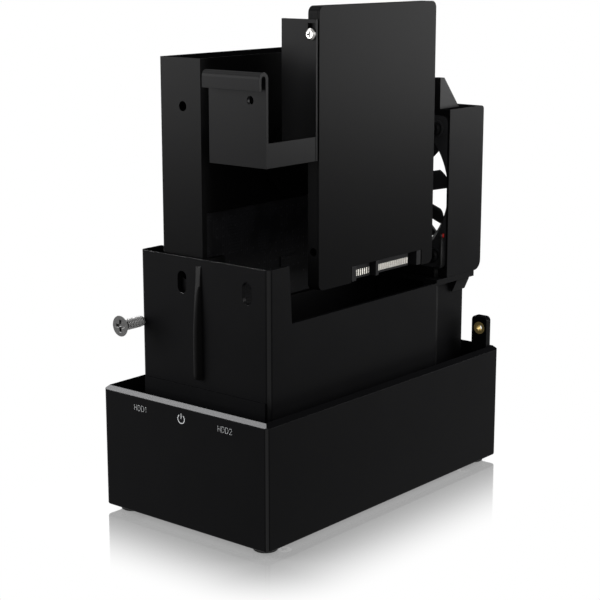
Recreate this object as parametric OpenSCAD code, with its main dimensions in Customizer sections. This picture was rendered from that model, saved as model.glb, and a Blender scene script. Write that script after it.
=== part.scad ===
// Two-bay drive enclosure with its outer cover lifted off.
// The left bay holds a 3.5 inch drive and the right bay a small drive on its tray.
// Millimetres. +Z is up, the front faces -Y and +X is to the right seen from the front.
// The origin is on the table, in the middle of the base's footprint.

/* [Base] */
// Room between the cradle's sides and the base's walls
side_room = 6.9; // [6.4:0.1:12]
// Room between the air duct and the base's rear wall
rear_room = 4.1; // [4:0.1:8]
// Height of the base housing's rim above the table
base_top = 48.3; // [45:0.1:51]
// Wall of the base housing
base_wall = 2.0; // [1.8:0.1:2.4]
// Bevel along the outer edge of the rim
rim_bevel = 1.6; // [0.8:0.1:1.7]
// Radius on the base's upright corners
base_corner_r = 1.5; // [0.5:0.1:1.8]
// Height of the rubber feet
foot_h = 2.0; // [1.5:0.1:3]
// Diameter of the rubber feet
foot_d = 9.0; // [6:0.1:10]
// Distance from the base's outer faces to the middle of a foot
foot_inset = 7.0; // [6:0.1:8]
// Thickness of the bottom plate
plate_t = 1.5; // [1.2:0.1:2]
// Gap round the bottom plate inside the housing
plate_gap = 0.15; // [0.1:0.05:0.3]
// Outer radius of the screw bosses in the base's corners
boss_r = 3.0; // [2.6:0.1:3.4]
// Height of the corner bosses above the bottom plate
boss_h = 16.5; // [13:0.5:22]
// Distance from the side wall's inner face to the middle of a corner boss
boss_in_x = 3.3; // [3.1:0.1:4]
// Distance from the end wall's inner face to the middle of a corner boss
boss_in_y = 13.1; // [12:0.1:15]

/* [Cover posts] */
// Width of the two posts that the cover is screwed to
post_w = 7.1; // [6.6:0.1:7.6]
// Thickness of a post
post_t = 3.0; // [2.6:0.1:4]
// Height of a post above the rim
post_rise = 12.0; // [10:0.1:14]
// Distance from the side wall's inner face to a post
post_in = 0.7; // [0.3:0.1:1]
// Distance from the post's top down to the insert
insert_drop = 4.9; // [4.4:0.1:6]
// Outer radius of a brass insert
insert_r = 2.5; // [1.9:0.05:2.6]
// Bore radius of a brass insert
insert_bore_r = 1.25; // [1:0.05:1.5]
// Radial gap between a pressed insert and its hole
insert_gap = 0.02; // [0.01:0.01:0.05]

/* [Fasteners] */
// Radius of a screw's shank
screw_r = 1.45; // [1.3:0.05:1.5]
// Radius of a screw's head
screw_head_r = 2.75; // [2.5:0.05:2.8]
// Height of a pan head
pan_h = 1.8; // [1.4:0.1:2.2]
// Radial gap between a shank and the hole it is driven into
thread_gap = 0.05; // [0.02:0.01:0.1]
// Radial gap round a shank in a through hole
through_gap = 0.25; // [0.2:0.05:0.4]
// Depth of the cross recess in a screw head
cross_depth = 0.9; // [0.6:0.1:1.1]

/* [Cradle] */
// Inner width of each drive bay
bay_w = 28.6; // [27.6:0.1:31]
// How far the large drive reaches past the cradle's main box
drive_past = 1.8; // [1.6:0.1:3]
// Distance from the base's front face to the cradle's front face
cradle_setback = 11.6; // [11:0.1:14]
// Wall of the cradle
cradle_wall = 1.6; // [1.3:0.05:1.7]
// Radius on the cradle's upright corners
cradle_corner_r = 2.0; // [1:0.1:3]
// Height of the cradle's front wall above the table
cradle_top = 98.5; // [97:0.1:99]
// Height of the cradle's low side walls above the table
cradle_low = 77.8; // [76:0.1:79]
// Depth of the high part of the side walls at its top
stub_d = 10.9; // [9:0.1:14]
// How far the stub's rear edge slopes back on its way down
stub_slope = 1.3; // [0.5:0.1:3]
// Width of the two fixing slots in the front wall
slot_w = 4.4; // [4:0.1:5]
// Height of the fixing slots
slot_h = 8.0; // [7:0.1:9]
// Height of the slots' middle above the table
slot_z = 89.2; // [88:0.1:91]
// Distance from the middle of the cradle to the left slot
slot_left = 10.1; // [9:0.1:11]
// Distance from the middle of the cradle to the right slot
slot_right = 20.9; // [19:0.1:22]
// Width of the rib on the front wall
rib_w = 2.2; // [1.8:0.1:3]
// How far the rib stands out
rib_out = 3.0; // [2:0.1:4]
// Distance from the middle of the cradle to the rib's right side
rib_left = 0.7; // [0:0.1:2]
// How far the front skirt stands out
skirt_out = 0.6; // [0.4:0.1:1]
// Height of the skirt above the base's rim
skirt_rise = 3.0; // [2:0.1:5]

/* [Rear duct] */
// How far the shelf stands out on each side of the duct behind the drives
shelf_side = 5.1; // [4.9:0.1:5.6]
// Depth of the duct behind the cradle's main box
duct_d = 23.9; // [22:0.1:24.5]
// Height of the duct's lower edge above the table
duct_z = 34.0; // [32:0.1:40]
// Thickness of the shelf under the fan housing
shelf_t = 2.2; // [2:0.1:3]
// Height of the shelf's top above the cradle's low walls
shelf_rise = 1.2; // [0.8:0.1:1.8]

/* [Drive bays] */
// Thickness of the ledges that the drives stand on
ledge_t = 2.6; // [2:0.1:3]
// Height of the ledges' top above the table
ledge_z = 21.6; // [21.4:0.1:23]
// Depth of the front ledges
ledge_front = 7.9; // [6:0.1:9]
// Depth of the rear ledges
ledge_rear = 7.5; // [6:0.1:8]
// Gap between a drive and the bay's walls
bay_gap = 0.5; // [0.4:0.05:0.6]
// Gap between the large drive and the divider
divider_gap = 0.7; // [0.5:0.05:1]
// Gap between a drive's front edge and the cradle's front wall
front_gap = 0.2; // [0.15:0.05:0.4]

/* [Large drive] */
// Thickness of the 3.5 inch drive
hdd_t = 20.0; // [19:0.1:22]
// Width of the 3.5 inch drive
hdd_w = 101.6; // [101:0.1:102]
// Length of the 3.5 inch drive
hdd_l = 147.0; // [145:0.1:150]
// Thickness of its steel lid
hdd_lid_t = 0.8; // [0.6:0.1:1.2]
// Depth of the pocket for its circuit board
hdd_pocket = 1.6; // [1.4:0.1:2]
// Radius of its fixing holes
hdd_hole_r = 1.75; // [1.5:0.05:2]

/* [Small drive] */
// Thickness of the 2.5 inch drive
ssd_t = 5.0; // [4.8:0.1:5.4]
// Width of the 2.5 inch drive
ssd_w = 69.85; // [69:0.05:70.2]
// Length of the 2.5 inch drive
ssd_l = 100.2; // [99.4:0.1:101]
// Corner radius of the 2.5 inch drive
ssd_corner_r = 2.5; // [1:0.1:4]
// Thickness of its cover
ssd_cover_t = 0.8; // [0.6:0.05:1]
// Wall of its case
ssd_wall = 1.0; // [0.8:0.05:1.2]
// Distance from the connector end to the rear side holes
ssd_hole_z = 90.6; // [90:0.1:91]

/* [Drive connectors] */
// Half the length of a drive's plug between its outer ends
plug_half = 21.55; // [21.3:0.05:22]
// Distance from the plug's middle to the small drive's rear edge
plug_back = 29.0; // [28.5:0.1:29.5]
// Length of a plug's outer posts
plug_post = 2.7; // [2.4:0.05:3]
// Distance from a drive's face to the plug's tongues
tongue_in = 2.0; // [1.9:0.05:2.1]
// Thickness of a tongue
tongue_t = 1.2; // [1.1:0.05:1.3]
// Gap on each side of a tongue in its slot
tongue_gap = 0.1; // [0.06:0.01:0.15]
// Depth of the plug's recess in a drive's end
plug_depth = 6.0; // [5.8:0.05:6.4]
// How far the tongues stay inside the drive's end
tongue_short = 0.6; // [0.5:0.05:1]
// Width of a socket on the main board
socket_w = 4.2; // [4:0.05:4.3]
// Height of a socket on the main board
socket_h = 10.0; // [9.6:0.05:10.2]

/* [Tray] */
// Sheet thickness of the tray
tray_t = 1.3; // [1:0.05:1.4]
// Gap between the tray's handle and the divider
tray_side = 1.6; // [1:0.1:4]
// Inner radius of the bend at the handle's top
tray_bend_r = 1.05; // [1.03:0.01:1.15]
// Length of the handle's lip below the bend
tray_lip = 3.85; // [3:0.05:5]
// Height of the handle plate and the bracket below the bend's middle
tray_drop = 30.15; // [29:0.05:32]
// Height of the arm between the handle and the bracket
tray_arm_h = 8.5; // [7:0.1:10]
// Width of the bracket plate beside the small drive
bracket_w = 15.6; // [12:0.1:18]
// Height of the bracket plate
bracket_h = 48.9; // [47:0.1:52]
// How far the tray is shown lifted above its seat
tray_lift = 64.4; // [50:0.1:76]
// Gap under the small drive when the tray is seated
tray_seat_gap = 0.1; // [0.05:0.05:0.3]

/* [Fan] */
// Outer size of the square fan frame
fan_size = 60.0; // [59:0.1:60.4]
// Thickness of the fan frame
fan_t = 10.0; // [9.5:0.1:12]
// Distance between the fan's fixing holes
fan_pitch = 50.0; // [49:0.1:50.4]
// Radius of the fan frame's opening
fan_open_r = 28.0; // [27:0.1:28.4]
// Gap between the blade tips and the frame
fan_tip_gap = 0.8; // [0.5:0.1:1.5]
// Radius of the fan's hub
fan_hub_r = 12.5; // [11:0.1:14]
// Number of blades
fan_blades = 11; // [7:1:13]
// Radius of the fan's shaft
fan_shaft_r = 1.5; // [1:0.05:1.8]
// Running gap between the shaft and its bearing
fan_shaft_gap = 0.04; // [0.02:0.01:0.1]
// Height of the frame's middle above the shelf
fan_rise = 33.4; // [33:0.1:34]
// Distance from the duct's front to the fan frame's front
fan_setback = 5.2; // [5:0.1:7]
// Thickness of the shroud beside the fan
shroud_wall = 1.0; // [0.8:0.05:1.2]
// Thickness of the shroud's sides behind the fan
shroud_side = 3.2; // [2.4:0.1:4]
// Depth of the shroud
shroud_d = 23.6; // [22:0.1:23.7]
// Height of the shroud's top above the fan frame
shroud_top = 2.5; // [1:0.1:3]
// Height of the two fins on the shroud
fin_h = 12.1; // [10:0.1:16]

/* [Main board] */
// Thickness of the main board
board_t = 1.6; // [1.2:0.1:1.8]
// Height of the board's underside above the bottom plate
standoff_h = 11.5; // [11:0.1:12]
// Distance across the flats of a standoff
standoff_af = 5.0; // [4.5:0.1:5.5]
// Width of the main board's rear part
board_rear_w = 45.6; // [44:0.1:46]

/* [Rear ports] */
// Thickness of the panel round the ports
panel_t = 1.0; // [0.8:0.05:1.2]
// Half the width of the window in the rear wall
window_half = 26.5; // [26:0.1:27]
// Height of the window's lower edge above the table
window_z = 13.0; // [12:0.1:14]
// Height of the window
window_h = 20.0; // [18:0.1:22]
// Distance from the middle to the power switch
switch_x = 19.0; // [18.5:0.1:19.5]
// Distance from the middle to the set button
button_x = 9.5; // [9.3:0.1:9.7]
// Distance from the middle to the mode selector
selector_x = 1.5; // [1.4:0.1:1.7]
// Distance from the middle to the data port
usb_x = 9.6; // [9.5:0.1:9.8]
// Distance from the middle to the power inlet
inlet_x = 20.9; // [20.7:0.1:21.2]
// Gap round each port in the panel
port_gap = 0.15; // [0.1:0.05:0.25]
// Travel of the power switch in degrees
rocker_swing = 20; // [16:1:24]
// Travel of the mode selector
selector_travel = 4.0; // [3:0.1:4.2]
// Travel of the set button
button_travel = 1.2; // [0.6:0.1:1.4]

/* [Front lights] */
// Distance from the middle to the lights of the two drives
light_x = 20.7; // [19:0.1:22]
// Height of the lights' middle above the table
light_z = 42.6; // [41:0.1:43.5]
// Height of the lamp board
lamp_board_h = 12.0; // [10:0.1:13]

/* [Loose screw] */
// Overall length of the loose countersunk screw
loose_len = 11.2; // [9:0.1:11.3]
// Radius of the loose screw's shank
loose_r = 2.03; // [1.8:0.01:2.1]
// Radius of the loose screw's head
loose_head_r = 3.95; // [3.4:0.05:4.1]
// Distance from the middle to the loose screw
loose_x = 30.5; // [29.5:0.1:32]
// Height of the loose screw above the table
loose_z = 71.9; // [66:0.1:76]

/* [Hidden] */
$fn = 64;
// A small overlap that keeps cuts clean.
eps = 0.5;

// Overall sizes that follow from the drives, their bays and the room round them
cradle_w = 2 * bay_w + 3 * cradle_wall;
cradle_d = cradle_wall + front_gap + hdd_w - drive_past;
base_w = cradle_w + 2 * (side_room + base_wall);
base_d = cradle_setback + cradle_d + duct_d + rear_room + base_wall;

// Base housing
bx = base_w / 2;
by = base_d / 2;
in_x = bx - base_wall;
in_y = by - base_wall;
plate_top = foot_h + plate_t;
boss_x = in_x - boss_in_x;
boss_y = in_y - boss_in_y;
screw_hole_r = screw_r + thread_gap;
through_r = screw_r + through_gap;

// Cover posts
post_x0 = in_x - post_in - post_w;
post_mid = post_x0 + post_w / 2;
post_top = base_top + post_rise;
insert_z = post_top - insert_drop;
post_y0 = in_y - post_t;

// Cradle
cx = cradle_w / 2;
cin = cx - cradle_wall;
cy0 = cradle_setback - by;
cyin = cy0 + cradle_wall;
cy1 = cy0 + cradle_d;
cy1in = cy1 - cradle_wall;
stub_y = cy0 + stub_d;
div_half = cradle_wall / 2;
duct_half = fan_size / 2 + shroud_wall - shelf_side;
duct_in = duct_half - cradle_wall;
duct_y1 = cy1 + duct_d;
shelf_top = cradle_low + shelf_rise;
shelf_z = shelf_top - shelf_t;
cradle_boss_x = cin - boss_r;
cradle_boss_y0 = cyin + boss_r;
cradle_boss_y1 = cy1in - boss_r - 0.1;
boss_top = plate_top + standoff_h;

// Drives
hdd_x1 = -div_half - divider_gap;
hdd_x0 = hdd_x1 - hdd_t;
hdd_y0 = cyin + front_gap;
hdd_y1 = hdd_y0 + hdd_w;
hdd_z0 = ledge_z;
hdd_z1 = hdd_z0 + hdd_l;
ssd_x1 = cin - bay_gap;
ssd_x0 = ssd_x1 - ssd_t;
ssd_y1 = cy1in - front_gap - 0.45;
ssd_y0 = ssd_y1 - ssd_w;
ssd_z0 = ledge_z + tray_seat_gap + tray_lift;
ssd_z1 = ssd_z0 + ssd_l;

// Drive connectors
plug_y = ssd_y1 - plug_back;
key_y = plug_y - 6.15;
key_half = 0.9;
socket_gap = 0.3;
socket_half = plug_half - plug_post - socket_gap;
slot_half = tongue_t / 2 + tongue_gap;
tongue_mid = tongue_in + tongue_t / 2;
data_y0 = plug_y - 17.3;
data_y1 = key_y - key_half - 1.3;
power_y0 = key_y + key_half + 1.7;
power_y1 = plug_y + 15.9;
board_top = plate_top + standoff_h + board_t;
socket_top = board_top + socket_h;

// Tray, with its handle hooked over the cradle's front wall when seated
tray_y0 = cyin + front_gap;
tray_y1 = tray_y0 + tray_t;
tray_bend_y = tray_y0 - tray_bend_r;
tray_outer_r = tray_bend_r + tray_t;
tray_lip_y0 = tray_bend_y - tray_outer_r;
tray_x1 = ssd_x1 - bay_gap;
tray_x0 = div_half + tray_side;
bend_seat_gap = 0.15;
tray_bend_z = cradle_top + bend_seat_gap + tray_lift;
tray_z0 = tray_bend_z - tray_drop;
bracket_x1 = tray_x1 + 0.1;
bracket_y0 = ssd_y0 - tray_t;
bracket_z1 = tray_z0 + bracket_h;
tray_screw_x = ssd_x1 - ssd_t / 2;
tray_screw_z = ssd_z0 + ssd_hole_z;
tray_hole_x = slot_right + slot_w / 8;
tray_hole_z = slot_z + slot_h / 4 + tray_lift;

// Fan and its shroud
fan_z = shelf_top + fan_rise;
fan_half = fan_size / 2;
fan_y0 = cy1 + fan_setback;
fan_y1 = fan_y0 + fan_t;
fan_hole = fan_pitch / 2;
fan_ring = 1.0;
fan_plate = 1.3;
shroud_y1 = fan_y0 + shroud_d;
shroud_z1 = fan_z + fan_half + shroud_top;
shroud_x = fan_half + shroud_wall;

// Rear ports
panel_y1 = in_y;
panel_y0 = panel_y1 - panel_t;
port_y1 = by - 0.2;
switch_z = board_top + 6.7;

// Front lamp board
lamp_y1 = cy0 - 5.9;
lamp_t = 1.2;
lamp_y0 = lamp_y1 - lamp_t;
lamp_z1 = light_z + 3.4;
lamp_z0 = lamp_z1 - lamp_board_h;
lamp_x = cx - 1;
lamp_pad_x = lamp_x - 3;
lamp_pad_z = (lamp_z0 + lamp_z1) / 2;

// A box between two opposite corners.
module block(x0, x1, y0, y1, z0, z1) {
    translate([x0, y0, z0]) cube([x1 - x0, y1 - y0, z1 - z0]);
}

// A box with its four upright edges rounded.
module round_block(x0, x1, y0, y1, z0, z1, r) {
    translate([0, 0, z0]) linear_extrude(z1 - z0) {
        translate([x0 + r, y0]) square([x1 - x0 - 2 * r, y1 - y0]);
        translate([x0, y0 + r]) square([x1 - x0, y1 - y0 - 2 * r]);
        for (x = [x0 + r, x1 - r], y = [y0 + r, y1 - r])
            translate([x, y]) circle(r);
    }
}

// An outline in Y and Z, extruded along X from x0 to x1.
module side_profile(x0, x1) {
    translate([x0, 0, 0]) rotate([90, 0, 90]) linear_extrude(x1 - x0) children();
}

// An outline in X and Z, extruded along Y from y0 to y1.
module front_profile(y0, y1) {
    translate([0, y1, 0]) rotate([90, 0, 0]) linear_extrude(y1 - y0) children();
}

// A round bar along Y, starting at p.
module bar_y(p, r, length) {
    translate(p) rotate([-90, 0, 0]) cylinder(r = r, h = length);
}

// A pair of copies, one on each side of the middle plane.
module both_sides() {
    children();
    mirror([1, 0, 0]) children();
}

// The cross recess of a screw, cut down from z = 0.
module cross_cut(size) {
    for (turn = [0, 90])
        rotate(turn) translate([-size / 2, -size / 8, -cross_depth])
            cube([size, size / 4, cross_depth + eps]);
}

// A pan-head screw with its head's underside at z = 0 and its shank going down.
module pan_screw(shank) {
    difference() {
        union() {
            translate([0, 0, -shank]) cylinder(r = screw_r, h = shank);
            cylinder(r = screw_head_r, h = pan_h * 0.6);
            translate([0, 0, pan_h * 0.6])
                cylinder(r1 = screw_head_r, r2 = screw_head_r * 0.7, h = pan_h * 0.4);
        }
        translate([0, 0, pan_h]) cross_cut(screw_head_r);
    }
}

// A countersunk screw with its head's face at z = 0 and its shank going down.
module flat_screw(shank, r, head_r) {
    cone = head_r - r;
    difference() {
        union() {
            translate([0, 0, -shank]) cylinder(r = r, h = shank - cone);
            translate([0, 0, -cone]) cylinder(r1 = r, r2 = head_r, h = cone);
        }
        cross_cut(head_r * 1.1);
    }
}

// Hooks, lead and ribbon
hook_x0 = duct_half + 0.4;
hook_x1 = hook_x0 + 1.9;
hook_y0 = duct_y1 - 9;
hook_drop = 5.6;
lead_r = 0.6;
lead_x = fan_half - 0.8;
lead_low_x = duct_half + lead_r + 0.1;
lead_y = fan_y0 - 0.8;
ribbon_w = 10;

plate_head_r = min(screw_head_r, screw_r + plate_t - 0.2);
plate_screw_l = boss_h - 3;
foot_x = bx - foot_inset;
foot_y = by - foot_inset;

// The open tub with its bevelled rim, corner bosses, cover posts and rear window.
module base_housing() color([0.07, 0.07, 0.08]) difference() {
    union() {
        difference() {
            intersection() {
                round_block(-bx, bx, -by, by, foot_h, base_top, base_corner_r);
                rim_wedge();
                rotate(90) rim_wedge_y();
            }
            block(-in_x, in_x, -in_y, in_y, foot_h - eps, base_top + eps);
            block(-window_half, window_half, in_y - eps, by + eps, window_z, window_z + window_h);
        }
        for (sx = [-1, 1], sy = [-1, 1])
            translate([sx * boss_x, sy * boss_y, plate_top]) {
                cylinder(r = boss_r, h = boss_h);
                translate([sx > 0 ? 0 : -boss_in_x - eps, -plate_t / 2, 0])
                    cube([boss_in_x + eps, plate_t, boss_h]);
            }
        both_sides() cover_post();
        // The two pads that carry the lamp board.
        both_sides() bar_y([lamp_pad_x, -in_y - eps, lamp_pad_z], 2.6, lamp_y0 + in_y + eps);
    }
    for (sx = [-1, 1], sy = [-1, 1])
        translate([sx * boss_x, sy * boss_y, plate_top - eps])
            cylinder(r = screw_hole_r, h = plate_screw_l + 1 + eps);
    both_sides() bar_y([lamp_pad_x, -in_y - 0.8, lamp_pad_z], screw_hole_r, lamp_y0 + in_y + 1);
    // The thinned spots that let the lights shine through the front.
    for (x = [-light_x, 0, light_x])
        bar_y([x, -in_y - base_wall * 0.6, light_z], 2, base_wall * 0.6 + eps);
}

// The roof-shaped envelope that bevels the rim's long edges.
module rim_wedge() {
    front_profile(-by - eps, by + eps)
        polygon([[-bx, 0], [bx, 0], [bx, base_top - rim_bevel], [bx - rim_bevel, base_top],
            [-bx + rim_bevel, base_top], [-bx, base_top - rim_bevel]]);
}

// The same envelope for the short edges, turned by its caller.
module rim_wedge_y() {
    front_profile(-bx - eps, bx + eps)
        polygon([[-by, 0], [by, 0], [by, base_top - rim_bevel], [by - rim_bevel, base_top],
            [-by + rim_bevel, base_top], [-by, base_top - rim_bevel]]);
}

// A post inside the rear wall that holds a threaded insert for the cover.
module cover_post() {
    r = post_w / 4;
    difference() {
        front_profile(post_y0, in_y) {
            translate([post_x0, window_z]) square([post_w, post_top - r - window_z]);
            translate([post_x0 + r, window_z]) square([post_w - 2 * r, post_top - window_z]);
            for (x = [post_x0 + r, post_x0 + post_w - r])
                translate([x, post_top - r]) circle(r);
        }
        bar_y([post_mid, post_y0 - eps, insert_z], insert_r + insert_gap, post_t + 2 * eps);
    }
}

module brass_inserts() color([0.75, 0.55, 0.25]) both_sides()
    difference() {
        bar_y([post_mid, post_y0, insert_z], insert_r, post_t);
        bar_y([post_mid, post_y0 - eps, insert_z], insert_bore_r, post_t + 2 * eps);
    }

module rubber_feet() color([0.05, 0.05, 0.05])
    for (sx = [-1, 1], sy = [-1, 1])
        translate([sx * foot_x, sy * foot_y, 0]) {
            cylinder(r1 = foot_d / 2 - 0.4, r2 = foot_d / 2, h = 0.4);
            translate([0, 0, 0.4]) cylinder(r = foot_d / 2, h = foot_h - 0.4);
        }

// The sheet that closes the base, with its rows of air slots.
module bottom_plate() color([0.1, 0.1, 0.1]) difference() {
    block(-in_x + plate_gap, in_x - plate_gap, -in_y + plate_gap, in_y - plate_gap,
        foot_h, plate_top);
    for (row = [-3:3], side = [-1, 1])
        translate([side * 9.5, row * 9, foot_h - eps]) linear_extrude(plate_t + 2 * eps) {
            square([10, 2.4], center = true);
            for (e = [-5, 5]) translate([e, 0]) circle(1.2);
        }
    for (sx = [-1, 1], sy = [-1, 1])
        translate([sx * boss_x, sy * boss_y, 0]) screw_seat();
    for (sx = [-1, 1], y = [cradle_boss_y0, cradle_boss_y1])
        translate([sx * cradle_boss_x, y, 0]) screw_seat();
}

// A through hole with a countersink for a flat screw from below.
module screw_seat() {
    cone = plate_head_r - screw_r + eps;
    seat_r = screw_r + 0.1;
    translate([0, 0, foot_h - eps]) cylinder(r = seat_r, h = plate_t + 2 * eps);
    translate([0, 0, foot_h - eps]) cylinder(r1 = seat_r + cone, r2 = seat_r, h = cone);
}

module plate_screws() color([0.25, 0.25, 0.26])
    for (sx = [-1, 1], sy = [-1, 1])
        translate([sx * boss_x, sy * boss_y, foot_h + 0.05]) rotate([180, 0, 0])
            flat_screw(plate_screw_l, screw_r, plate_head_r);

module cradle_screws() color([0.25, 0.25, 0.26])
    for (sx = [-1, 1], y = [cradle_boss_y0, cradle_boss_y1])
        translate([sx * cradle_boss_x, y, foot_h + 0.05]) rotate([180, 0, 0])
            flat_screw(standoff_h - 2, screw_r, plate_head_r);

// The outline of the cradle's side walls: a high stub in front and a low wall behind it.
module cradle_outline(z0, y0, y1) {
    polygon([[y0, z0], [y0, cradle_top], [stub_y, cradle_top],
        [stub_y + stub_slope, cradle_low], [y1, cradle_low], [y1, z0]]);
}

// A fixing slot with round ends, cut through the cradle's front wall at x.
module fixing_slot(x) {
    r = slot_w / 2;
    reach = slot_h / 2 - r;
    front_profile(cy0 - skirt_out - eps, cyin + eps) {
        translate([x - r, slot_z - reach]) square([slot_w, 2 * reach]);
        for (side = [-1, 1])
            translate([x, slot_z + side * reach]) circle(r);
    }
}

// The rib that swells from the top of the front wall and ends in a rounded foot.
module front_rib() {
    top = cradle_top - 2.7;
    full = 68;
    foot = 54.5;
    side_profile(-rib_left - rib_w, -rib_left)
        polygon(concat(
            [[cy0 + eps, top], [cy0 + eps, foot]],
            [for (a = [0:15:90])
                [cy0 - rib_out + rib_out * 0.7 * (1 - sin(a)), foot + rib_out * 0.7 * (1 - cos(a))]],
            [for (i = [0:8])
                let (t = i / 8)
                [cy0 - 0.3 - (rib_out - 0.3) * cos(90 * t), full + (top - full) * t]]));
}

// The narrow air duct behind the drives, the shelf on top of it and the hook notches.
module cradle_duct() {
    difference() {
        union() {
            block(-duct_half, duct_half, cy1 - eps, duct_y1, duct_z, shelf_z + eps);
            block(-cx, cx, cy1in, duct_y1 + 0.3, shelf_z, shelf_top);
        }
        block(-duct_in, duct_in, cy1in - eps, duct_y1 - cradle_wall, duct_z - eps, shelf_z);
        // The opening that lets the large drive's rear edge through.
        block(-duct_in, duct_in, cy1in - eps, hdd_y1 + 0.5, shelf_z - eps, shelf_top + eps);
        // The openings under the fan housing that let the air up.
        for (x = [-16, 0, 16])
            block(x - 6.5, x + 6.5, hdd_y1 + 3, duct_y1 - cradle_wall, shelf_z - eps,
                shelf_top + eps);
        // The notches that the shroud's hooks snap into.
        both_sides() block(duct_half + 0.2, hook_x1 + 0.2, hook_y0 - 0.2, duct_y1 + 1,
            shelf_z - eps, shelf_top + eps);
        // The hole that the fan's lead passes through.
        block(lead_low_x - 1, lead_low_x + 1, lead_y - 2.2, lead_y + 1, shelf_z - eps,
            shelf_top + eps);
    }
}

// The tall holder with its two bays, the divider between them and the ledges below.
module cradle() color([0.08, 0.08, 0.09]) difference() {
    union() {
        difference() {
            intersection() {
                round_block(-cx, cx, cy0, cy1, plate_top, cradle_top, cradle_corner_r);
                side_profile(-cx - eps, cx + eps) cradle_outline(0, cy0 - eps, cy1 + eps);
            }
            block(-cin, cin, cyin, cy1in, plate_top - eps, cradle_top + eps);
            block(-duct_in, duct_in, cy1in - eps, cy1 + eps, plate_top - eps, cradle_top + eps);
        }
        side_profile(-div_half, div_half)
            cradle_outline(board_top + 1.4, cyin - eps, cy1in);
        for (y = [[cyin - eps, cyin + ledge_front], [cy1in - ledge_rear, cy1in + eps]])
            block(-cin - eps, cin + eps, y[0], y[1], ledge_z - ledge_t, ledge_z);
        cradle_duct();
        front_rib();
        // The skirt round the foot of the front wall.
        block(-cx + cradle_wall, cx - cradle_wall, cy0 - skirt_out, cy0 + eps, plate_top,
            base_top + skirt_rise);
        for (sx = [-1, 1], y = [cradle_boss_y0, cradle_boss_y1])
            translate([sx * cradle_boss_x, y, plate_top]) cradle_boss(sx, y);
    }
    fixing_slot(-slot_left);
    fixing_slot(slot_right);
    for (sx = [-1, 1], y = [cradle_boss_y0, cradle_boss_y1])
        translate([sx * cradle_boss_x, y, plate_top - eps])
            cylinder(r = screw_hole_r, h = standoff_h - 2 + eps);
    // The notch that the lamp board's ribbon passes through.
    block(-ribbon_w / 2 - 0.8, ribbon_w / 2 + 0.8, cy0 - 1, cyin + eps, plate_top - eps,
        plate_top + 8.5);
}

// A screw boss in a corner of the cradle, joined to the walls it stands beside.
module cradle_boss(side, y) {
    reach = boss_r + eps;
    cylinder(r = boss_r, h = standoff_h);
    translate([side > 0 ? 0 : -reach, -boss_r * 0.4, 0]) cube([reach, boss_r * 0.8, standoff_h]);
    translate([-boss_r * 0.4, y < 0 ? -reach : 0, 0]) cube([boss_r * 0.8, reach, standoff_h]);
}

standoff_x = 19.5;
board_y0 = cradle_boss_y0 + boss_r + 6;
board_mid_y = cradle_boss_y1 - boss_r - 1;
standoff_y0 = board_y0 + 7.9;
standoff_y1 = board_mid_y - 9.4;
board_y1 = panel_y0 - 2;
board_x = cin - 0.3;
board_neck_x = min(board_rear_w / 2, cradle_boss_x - boss_r - 0.2);
board_back_x = window_half + 1.5;
board_z = plate_top + standoff_h;

// The main board, with a neck between the cradle's rear bosses and four fixing holes.
module main_board() color([0.02, 0.18, 0.1]) difference() {
    translate([0, 0, board_z]) linear_extrude(board_t)
        for (part = [[board_x, board_y0, board_mid_y], [board_neck_x, board_mid_y - eps, board_y1],
                [board_back_x, cy1 + 1.4, board_y1]])
            translate([-part[0], part[1]]) square([2 * part[0], part[2] - part[1]]);
    for (x = [-standoff_x, standoff_x], y = [standoff_y0, standoff_y1])
        translate([x, y, board_z - eps]) cylinder(r = through_r, h = board_t + 2 * eps);
}

module board_standoffs() color([0.72, 0.58, 0.3])
    for (x = [-standoff_x, standoff_x], y = [standoff_y0, standoff_y1])
        translate([x, y, plate_top]) difference() {
            cylinder(d = standoff_af / cos(30), h = standoff_h, $fn = 6);
            translate([0, 0, standoff_h - 6]) cylinder(r = screw_hole_r, h = 6 + eps, $fn = 64);
        }

module board_screws() color([0.7, 0.7, 0.72])
    for (x = [-standoff_x, standoff_x], y = [standoff_y0, standoff_y1])
        translate([x, y, board_top]) pan_screw(board_t + 4);

// The controller, the bridge and the memory chips.
module board_chips() color([0.06, 0.06, 0.07]) {
    translate([8, standoff_y0 + 24, board_top]) chip(14, 14, 1.2);
    translate([-16, standoff_y0 + 30, board_top]) chip(9, 9, 1.0);
    translate([9, standoff_y1 - 12, board_top]) chip(6, 5, 1.0);
    translate([-15, standoff_y1 - 14, board_top]) chip(5, 6, 1.0);
    translate([-9, cy1 + 5, board_top]) chip(6, 6, 1.4);
}

module chip(w, d, h) {
    translate([-w / 2, -d / 2, 0]) cube([w, d, h]);
}

// The supply's electrolytic capacitors, with the groove near each one's foot.
module board_capacitors() color([0.55, 0.56, 0.6])
    for (p = [[17, 5.9], [9.5, 7.4], [-17, 7.9]])
        translate([p[0], cy1 + p[1], board_top]) rotate_extrude()
            polygon([[0, 0], [can_r, 0], [can_r, 1.4], [can_r - 0.3, 1.7], [can_r, 2],
                [can_r, can_h - 0.3], [can_r - 0.3, can_h], [0, can_h]]);

can_r = 3.15;
can_h = 7.7;

// A drive socket whose two slots take a plug's tongues.
module drive_socket(face) {
    x0 = face + 0.2 - socket_w;
    x1 = face + 0.2;
    mid = face - tongue_mid;
    difference() {
        block(x0, x1, plug_y - socket_half, plug_y + socket_half, board_top, socket_top);
        // The gap that takes the middle post of a plug.
        block(x0 - eps, x1 + eps, key_y - key_half - socket_gap, key_y + key_half + socket_gap,
            socket_top - plug_depth + 0.4, socket_top + eps);
        for (y = [[data_y0, data_y1], [power_y0, power_y1]])
            block(mid - slot_half, mid + slot_half, y[0] - tongue_gap, y[1] + tongue_gap,
                socket_top - plug_depth + 0.8, socket_top + eps);
    }
}

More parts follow.
